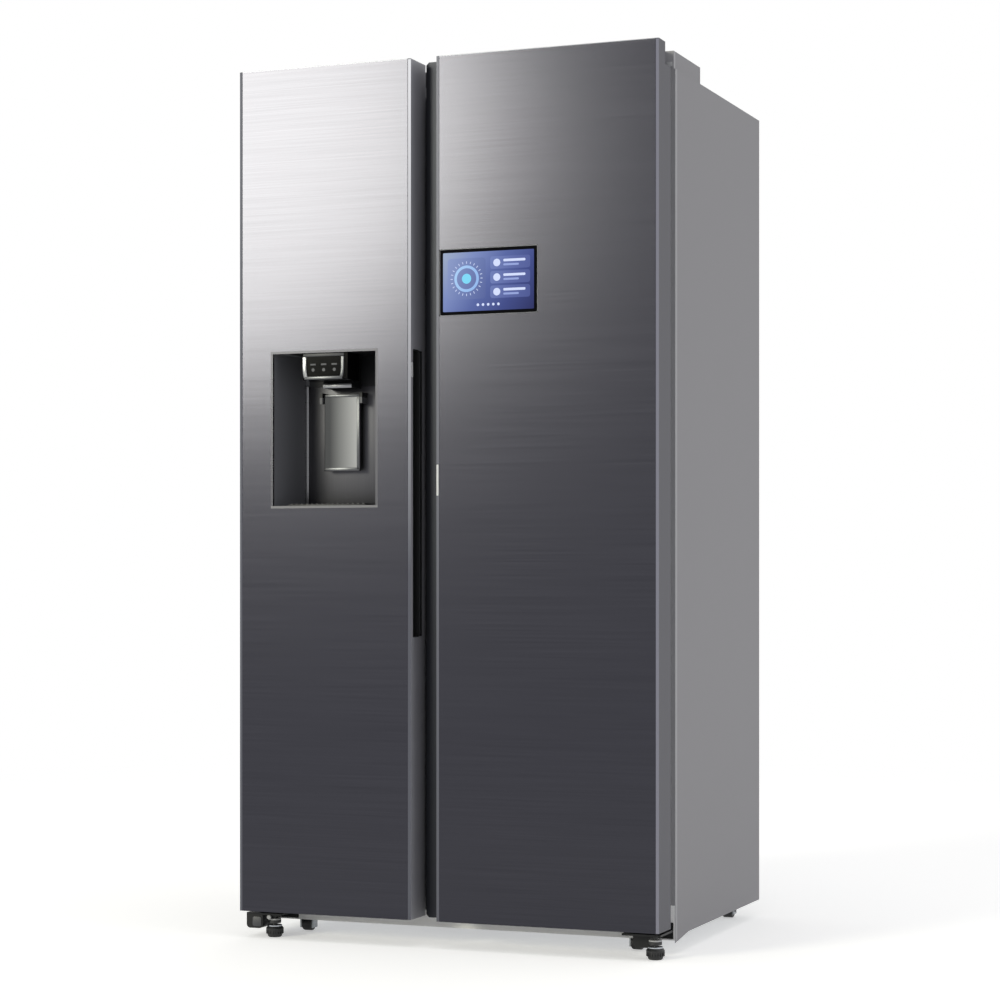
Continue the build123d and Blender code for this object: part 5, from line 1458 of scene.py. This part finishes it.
    def rows(self, picture: Box) -> None:
        """Three tiles under each other, each with a round mark and two bars.

        Args:
            picture: The lit picture's limits.
        """
        left, right = picture.x[0] + self.tile_x[0], picture.x[1] + self.tile_x[1]
        bar, line = ((left + x[0], right + x[1]) for x in (self.bar_x, self.line_x))
        tile = Glow("screen_tile", "black_glass", ("#7484BC", "#5C68A4", "#4A5590"),
                    Box((left, right), picture.y, picture.z))
        for number in range(1, self.tiles + 1):
            low = picture.z[0] + self.tile_foot + (number - 1) * self.tile_pitch
            rise = (low, low + self.tile_height)
            self.flat(f"screen_tile_{number}", (left, right), rise, self.tile_corner, layers=1, look=tile)
            self.disc(f"screen_tile_mark_{number}", (left + self.tile_mark_across, sum(rise) / 2),
                      self.tile_mark_radius, PALE_MARK)
            for part, x, z, corner, look in (("bar", bar, self.bar_z, 2, PALE_MARK),
                                             ("line", line, self.line_z, 1.8, DIM_MARK)):
                self.flat(f"screen_tile_{part}_{number}", x, beside(low, z), corner, layers=2, look=look)

    def dots(self, picture: Box) -> None:
        """Page dots along the foot of the picture.

        Args:
            picture: The lit picture's limits.
        """
        places = [Vector((picture.middle(Axis.X) + self.dot_pitch * i, self.level(2),
                          picture.z[0] + self.dot_rise)) for i in range(-2, 3)]
        self.copies("screen_page_dots", turned(self.dot, Axis.Y, steps=20), PALE_MARK, places)


@dataclass
class Undercarriage(Assembly):
    """Levelling feet, rollers and the housings of the lower hinges."""

    knurls: int = 22
    knurl_ring: float = 17.0
    knurl_foot: float = 7.0
    knurl_length: float = 10.5
    knurl_width: float = 2.4
    knurl_height: float = 2.2
    ring: tuple[Point, ...] = ((6, 22.1), (14.5, 22.1), (15, 22.6), (15, 24.6), (14.5, 25.1), (6, 25.1),
                              (6, 22.1))
    washer: tuple[Point, ...] = ((6, 35.2), (12.5, 35.2), (13, 35.7), (13, 37.8), (12.5, 38.3), (6, 38.3),
                                (6, 35.2))
    treads: int = 28
    tread_sunk: float = 0.35
    tread_inset: float = 3.0
    tread_width: float = 1.6
    tread_height: float = 0.7
    plate_x: Span = (14.0, 34.0)
    plate_y: Span = (-1.0, 0.6)
    plate_z: Span = (22.0, 42.0)
    plate_corner: float = 4.0
    pin_x: float = 52.0
    pin_z: float = 42.0
    pin: tuple[Point, ...] = ((0, 1.5), (4.6, 1.5), (4.6, -1.2), (3.6, -2.0), (0, -2.2))

    def build(self) -> None:
        """Dresses feet and rollers and adds their knurls, rings, treads, plate and pin."""
        self.dress(BLACK_ABS, "rear_rollers")
        for side in Side:
            foot, roller = f"front_foot_{side.label}", f"front_roller_{side.label}"
            self.dress(BLACK_ABS, foot, roller)
            self.foot(foot, side)
            self.roller(roller, side)
        self.housing_parts()

    def foot(self, node: str, side: Side) -> None:
        """Knurls round a foot, a bright ring over it and a washer on its stud.

        Args:
            node: The foot's node, and its body.
            side: The side it stands on.
        """
        foot = Box.of(node)
        x, y = foot.middle(Axis.X), foot.middle(Axis.Y)
        self.repeated(Repeat.RING, f"foot_knurls_{side.label}", BLACK_ABS, {
            "Count": self.knurls, "Radius": self.knurl_ring, "Centre": (x, y, self.knurl_foot),
            "Turn": (0, 0, 0), "Reach": (0, 0, self.knurl_length), "Width": self.knurl_width,
            "Height": self.knurl_height}, node)
        self.piece(f"foot_ring_{side.label}", turned(self.ring, Axis.Z, (x, y)), ZINC, node)
        self.piece(f"foot_washer_{side.label}", turned(self.washer, Axis.Z, (x, y)), LIGHT_ABS, node)

    def roller(self, node: str, side: Side) -> None:
        """Tread bars round a front roller.

        Args:
            node: The roller's node, and its body.
            side: The side it stands on.
        """
        wheel = Box.of(node)
        centre = (wheel.x[0] + self.tread_inset, wheel.middle(Axis.Y), wheel.middle(Axis.Z))
        self.repeated(Repeat.RING, f"roller_treads_{side.label}", BLACK_ABS, {
            "Count": self.treads, "Radius": wheel.size(Axis.Z) / 2 - self.tread_sunk, "Centre": centre,
            "Turn": (0, math.pi / 2, 0), "Reach": (0, 0, wheel.size(Axis.X) - 2 * self.tread_inset),
            "Width": self.tread_width, "Height": self.tread_height}, node)

    def housing_parts(self) -> None:
        """A plate and a pin on the front of the left lower hinge's housing."""
        bracket = Box.of("hinge_brackets")
        left, front = bracket.x[0], bracket.y[0]
        outline = rounded(beside(left, self.plate_x), self.plate_z, self.plate_corner)
        plate = extruded(outline, Axis.Y, beside(front, self.plate_y), bevel=0.4)
        self.piece("left_housing_plate", plate, GREY_ABS)
        pin = turned([(radius, front + y) for radius, y in self.pin], Axis.Y, (left + self.pin_x, self.pin_z))
        self.piece("left_housing_pin", pin, LIGHT_ABS)


@dataclass
class ColdSpaces(Assembly):
    """The two cavities: liners, shelves, drawers, ducts and lamps."""

    drawers: tuple[str, ...] = ("freezer_drawer_lower", "freezer_drawer_upper", "crisper_lower",
                                "crisper_upper")
    rib_pitch: float = 9.0
    rib_margin: float = 60.0
    rib_first: float = 34.0
    rib_back: float = 11.7
    rib_foot: float = 20.0
    rib_share: float = 0.5
    rib_width: float = 1.6
    rib_height: float = 3.0
    rib_corner: float = 0.6

    def build(self) -> None:
        """Dresses the cavities and adds the ribs of the drawers."""
        self.dress(LINER_WHITE, "freezer_liner", "fridge_liner", "freezer_duct_panel", "fridge_duct_panel")
        self.dress(SATIN, "shelf_trims")
        self.dress(OPAL, "interior_lamps")
        self.dress(COIL, "evaporator")
        self.dress(BLACK_ABS, "freezer_fan")
        self.dress(SHELF_GLASS, *(name for name in self.frame["nodes"] if "_shelf_" in name))
        self.dress(CLEAR, *self.drawers)
        for drawer in self.drawers:
            self.drawer_ribs(drawer)

    def drawer_ribs(self, drawer: str) -> None:
        """A band of fine upright ribs across a drawer's front.

        Args:
            drawer: The drawer's node, and its body.
        """
        box = Box.of(drawer)
        start = (box.x[0] + self.rib_first, box.y[0] + self.rib_back, box.z[0] + self.rib_foot)
        self.repeated(Repeat.BARS, f"{drawer}_ribs", CLEAR, {
            "Count": int((box.size(Axis.X) - self.rib_margin) / self.rib_pitch), "Start": start,
            "Step": (self.rib_pitch, 0, 0), "Reach": (0, 0, box.size(Axis.Z) * self.rib_share),
            "Width": self.rib_width, "Height": self.rib_height, "Corner": self.rib_corner}, drawer)


@dataclass
class MachineRoom(Assembly):
    """The compressor compartment at the foot of the back."""

    fins: int = 30
    fin_margin: float = 16.0
    fin_first: float = 9.0
    fin_inset: float = 1.0
    fin_width: float = 0.5
    seam_rise: float = 14.0
    seam: tuple[Point, ...] = ((-2, -3), (1.6, -2.2), (2.4, 0), (1.6, 2.2), (-2, 3), (-2, -3))

    def build(self) -> None:
        """Dresses the cooling parts and adds fins and the compressor's seam."""
        self.dress(BLACK_STEEL, "compressor")
        self.dress(COIL, "condenser")
        self.dress(BLACK_ABS, "fan_shroud", "condenser_fan")
        self.condenser_fins()
        self.compressor_seam()

    def condenser_fins(self) -> None:
        """Thin fins across the condenser's tubes."""
        coil = Box.of("condenser")
        start = (coil.x[0] + self.fin_first, coil.y[0] + self.fin_inset, coil.middle(Axis.Z))
        self.repeated(Repeat.BARS, "condenser_fins", COIL, {
            "Count": self.fins, "Start": start,
            "Step": ((coil.size(Axis.X) - self.fin_margin) / self.fins, 0, 0),
            "Reach": (0, coil.size(Axis.Y) - 2 * self.fin_inset, 0), "Width": self.fin_width,
            "Height": coil.size(Axis.Z) - 2 * self.fin_inset, "Corner": 0.1})

    def compressor_seam(self) -> None:
        """The welded seam round the compressor's shell."""
        shell = Box.of("compressor")
        radius, z = shell.size(Axis.Y) / 2, shell.middle(Axis.Z) + self.seam_rise
        profile = [(radius + out, z + up) for out, up in self.seam]
        seam = turned(profile, Axis.Z, (shell.middle(Axis.X), shell.middle(Axis.Y)), steps=64)
        self.piece("compressor_seam", seam, BLACK_STEEL)


# ---------------------------------------------------------------- camera, floor and light, in metres
@dataclass(frozen=True)
class Lamp:
    """A round softbox: where it hangs and points, its width, and how bright its face is (1 is white)."""

    name: str
    place: tuple[float, float, float]
    target: tuple[float, float, float]
    size: float
    radiance: float
    tint: tuple[float, float, float] = (1.0, 1.0, 1.0)

    def build(self) -> None:
        """Hangs the lamp."""
        data = bpy.data.lights.new(self.name, "AREA")
        data.shape = "DISK"
        data.size = self.size
        data.energy = self.radiance * (math.pi * self.size / 2) ** 2
        data.color = self.tint
        lamp = bpy.data.objects.new(self.name, data)
        lamp.location = self.place
        away = Vector(self.place) - Vector(self.target)
        lamp.rotation_euler = away.to_track_quat("Z", "Y").to_euler()
        lamp.visible_camera = False
        bpy.context.scene.collection.objects.link(lamp)
        LOG.info("%s: %.2f m across", self.name, self.size)


@dataclass
class Studio:
    """A white room with a small bright softbox, a wide fill and a camera at standing distance."""

    camera_place: tuple[float, float, float] = (1.9438, -4.9388, 0.7554)
    camera_yaw: float = 21.656
    lens: float = 89.28
    sensor: float = 36.0
    rise: float = 0.0733
    plain: float = 0.5
    highlight: Point = (-0.54, 1.73)
    key_distance: float = 12.0
    key_size: float = 3.75
    key_radiance: float = 22.5
    key_tint: tuple[float, float, float] = (1.0, 0.985, 0.81)
    fills: tuple[Lamp, ...] = (
        Lamp("side_fill", (3.4, -0.5, 1.1), (0.4, 0, 0.9), 2.2, 2.0),
        Lamp("top_fill", (0.2, -0.6, 5.2), (0, 0, 0), 3.4, 1.3),
        Lamp("rear_fill", (-1.6, 4.6, 2.4), (0, 0, 0.9), 3.0, 1.0),
    )
    floor_half: float = 40.0
    floor_grey: str = "#EDEDED"
    floor_lift: float = 0.4
    floor_near: float = 1.2
    floor_far: float = 4.5
    white: tuple[float, float, float, float] = (1.0, 1.0, 1.0, 1.0)

    def build(self) -> None:
        """Sets up the room, in order."""
        scene = bpy.context.scene
        scene.view_settings.view_transform = "Standard"
        self.world(scene)
        self.floor(scene)
        self.camera(scene)
        for lamp in (self.key(), *self.fills):
            lamp.build()

    def key(self) -> Lamp:
        """The bright softbox, where the doors mirror it to the camera at the highlight.

        Returns:
            The lamp.
        """
        mark = Vector((self.highlight[0], Box.of("fridge_door_skin").y[0] * MM, self.highlight[1]))
        sight = (mark - Vector(self.camera_place)).normalized()
        mirrored = Vector((sight.x, -sight.y, sight.z))
        return Lamp("key_softbox", tuple(mark + mirrored * self.key_distance), tuple(mark), self.key_size,
                    self.key_radiance, self.key_tint)

    def world(self, scene: bpy.types.Scene) -> None:
        """White to the eye, in metal and through glass, and plain light for everything else.

        Args:
            scene: The scene.
        """
        scene.world = bpy.data.worlds.new("white_room")
        scene.world.use_nodes = True
        tree = scene.world.node_tree
        back = tree.nodes["Background"].inputs
        back["Color"].default_value = self.white
        tree.links.new(self.brightness(tree), back["Strength"])
        # Sampled as a lamp, the room would be worked out without asking which ray looks at it.
        scene.world.cycles.sampling_method = "NONE"

    def seen(self, tree: bpy.types.NodeTree) -> bpy.types.NodeSocket:
        """1 for camera, glossy and transmission rays, and 0 for the rest.

        Args:
            tree: The world's or the material's tree.

        Returns:
            The socket with that value.
        """
        path = add(tree, "ShaderNodeLightPath").outputs
        some = add(tree, "ShaderNodeMath", {0: path["Is Camera Ray"], 1: path["Is Glossy Ray"]},
                   operation="MAXIMUM").outputs[0]
        return add(tree, "ShaderNodeMath", {0: some, 1: path["Is Transmission Ray"]},
                   operation="MAXIMUM").outputs[0]

    def brightness(self, tree: bpy.types.NodeTree) -> bpy.types.NodeSocket:
        """The room's strength: 1 where it is seen, and its plain light elsewhere."""
        return add(tree, "ShaderNodeMix", {0: self.seen(tree), 2: self.plain, 3: 1.0}).outputs[0]

    def floor(self, scene: bpy.types.Scene) -> None:
        """A pale floor that keeps the shadow and passes into the white of the room further off.

        Args:
            scene: The scene.
        """
        shape = bmesh.new()
        bmesh.ops.create_grid(shape, x_segments=2, y_segments=2, size=self.floor_half)
        mesh = bpy.data.meshes.new("studio_floor")
        shape.to_mesh(mesh)
        shape.free()
        mesh.materials.append(self.floor_paint())
        floor = bpy.data.objects.new("studio_floor", mesh)
        scene.collection.objects.link(floor)

    def floor_paint(self) -> bpy.types.Material:
        """Matt floor paint, rolled on: even and dull, so that only the shadow shows on it.

        Returns:
            The material.
        """
        paint = bpy.data.materials.new("pale_floor_paint")
        paint.use_nodes = True
        tree = paint.node_tree
        surface = tree.nodes["Principled BSDF"]
        surface.inputs["Base Color"].default_value = linear(self.floor_grey)
        surface.inputs["Roughness"].default_value = 0.9
        surface.inputs["Specular IOR Level"].default_value = 0.0
        surface.inputs["Emission Color"].default_value = self.white
        lift = add(tree, "ShaderNodeMath", {0: self.seen(tree), 1: self.floor_lift}, operation="MULTIPLY")
        tree.links.new(lift.outputs[0], surface.inputs["Emission Strength"])
        room = add(tree, "ShaderNodeEmission", {"Strength": self.brightness(tree)})
        place = add(tree, "ShaderNodeTexCoord").outputs["Object"]
        away = add(tree, "ShaderNodeVectorMath", {0: place}, operation="LENGTH").outputs["Value"]
        far = add(tree, "ShaderNodeMapRange", {"Value": away, "From Min": self.floor_near,
                                               "From Max": self.floor_far}, interpolation_type="SMOOTHSTEP")
        both = add(tree, "ShaderNodeMixShader", {0: far.outputs[0], 1: surface.outputs[0],
                                                 2: room.outputs[0]})
        tree.links.new(both.outputs[0], tree.nodes["Material Output"].inputs["Surface"])
        return paint

    def camera(self, scene: bpy.types.Scene) -> None:
        """The camera, level, with its view raised by a small shift.

        Args:
            scene: The scene.
        """
        data = bpy.data.cameras.new("camera")
        data.lens = self.lens
        data.sensor_width = self.sensor
        data.shift_y = self.rise
        view = bpy.data.objects.new("camera", data)
        view.location = self.camera_place
        view.rotation_euler = (math.pi / 2, 0, math.radians(self.camera_yaw))
        scene.collection.objects.link(view)
        scene.camera = view


def main() -> None:
    """Builds the refrigerator and its studio, in order."""
    logging.basicConfig(level=logging.INFO, format="%(name)s: %(message)s")
    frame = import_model()
    recipes = {Repeat.BARS: bar_recipe(), Repeat.LOOP: loop_recipe(), Repeat.RING: ring_recipe(),
               Repeat.COPIES: copy_recipe()}
    assemblies = (
        Cabinet("cabinet", frame, recipes),
        ColdSpaces("cabinet", frame, recipes),
        MachineRoom("cabinet", frame, recipes),
        Undercarriage("cabinet", frame, recipes),
        FreezerDoor("freezer_door", frame, recipes),
        Dispenser("freezer_door", frame, recipes),
        FridgeDoor("fridge_door", frame, recipes),
        TouchScreen("fridge_door", frame, recipes),
    )
    for assembly in assemblies:
        LOG.info("--- %s", type(assembly).__name__)
        assembly.build()
    Studio().build()


if __name__ == "__main__":
    main()
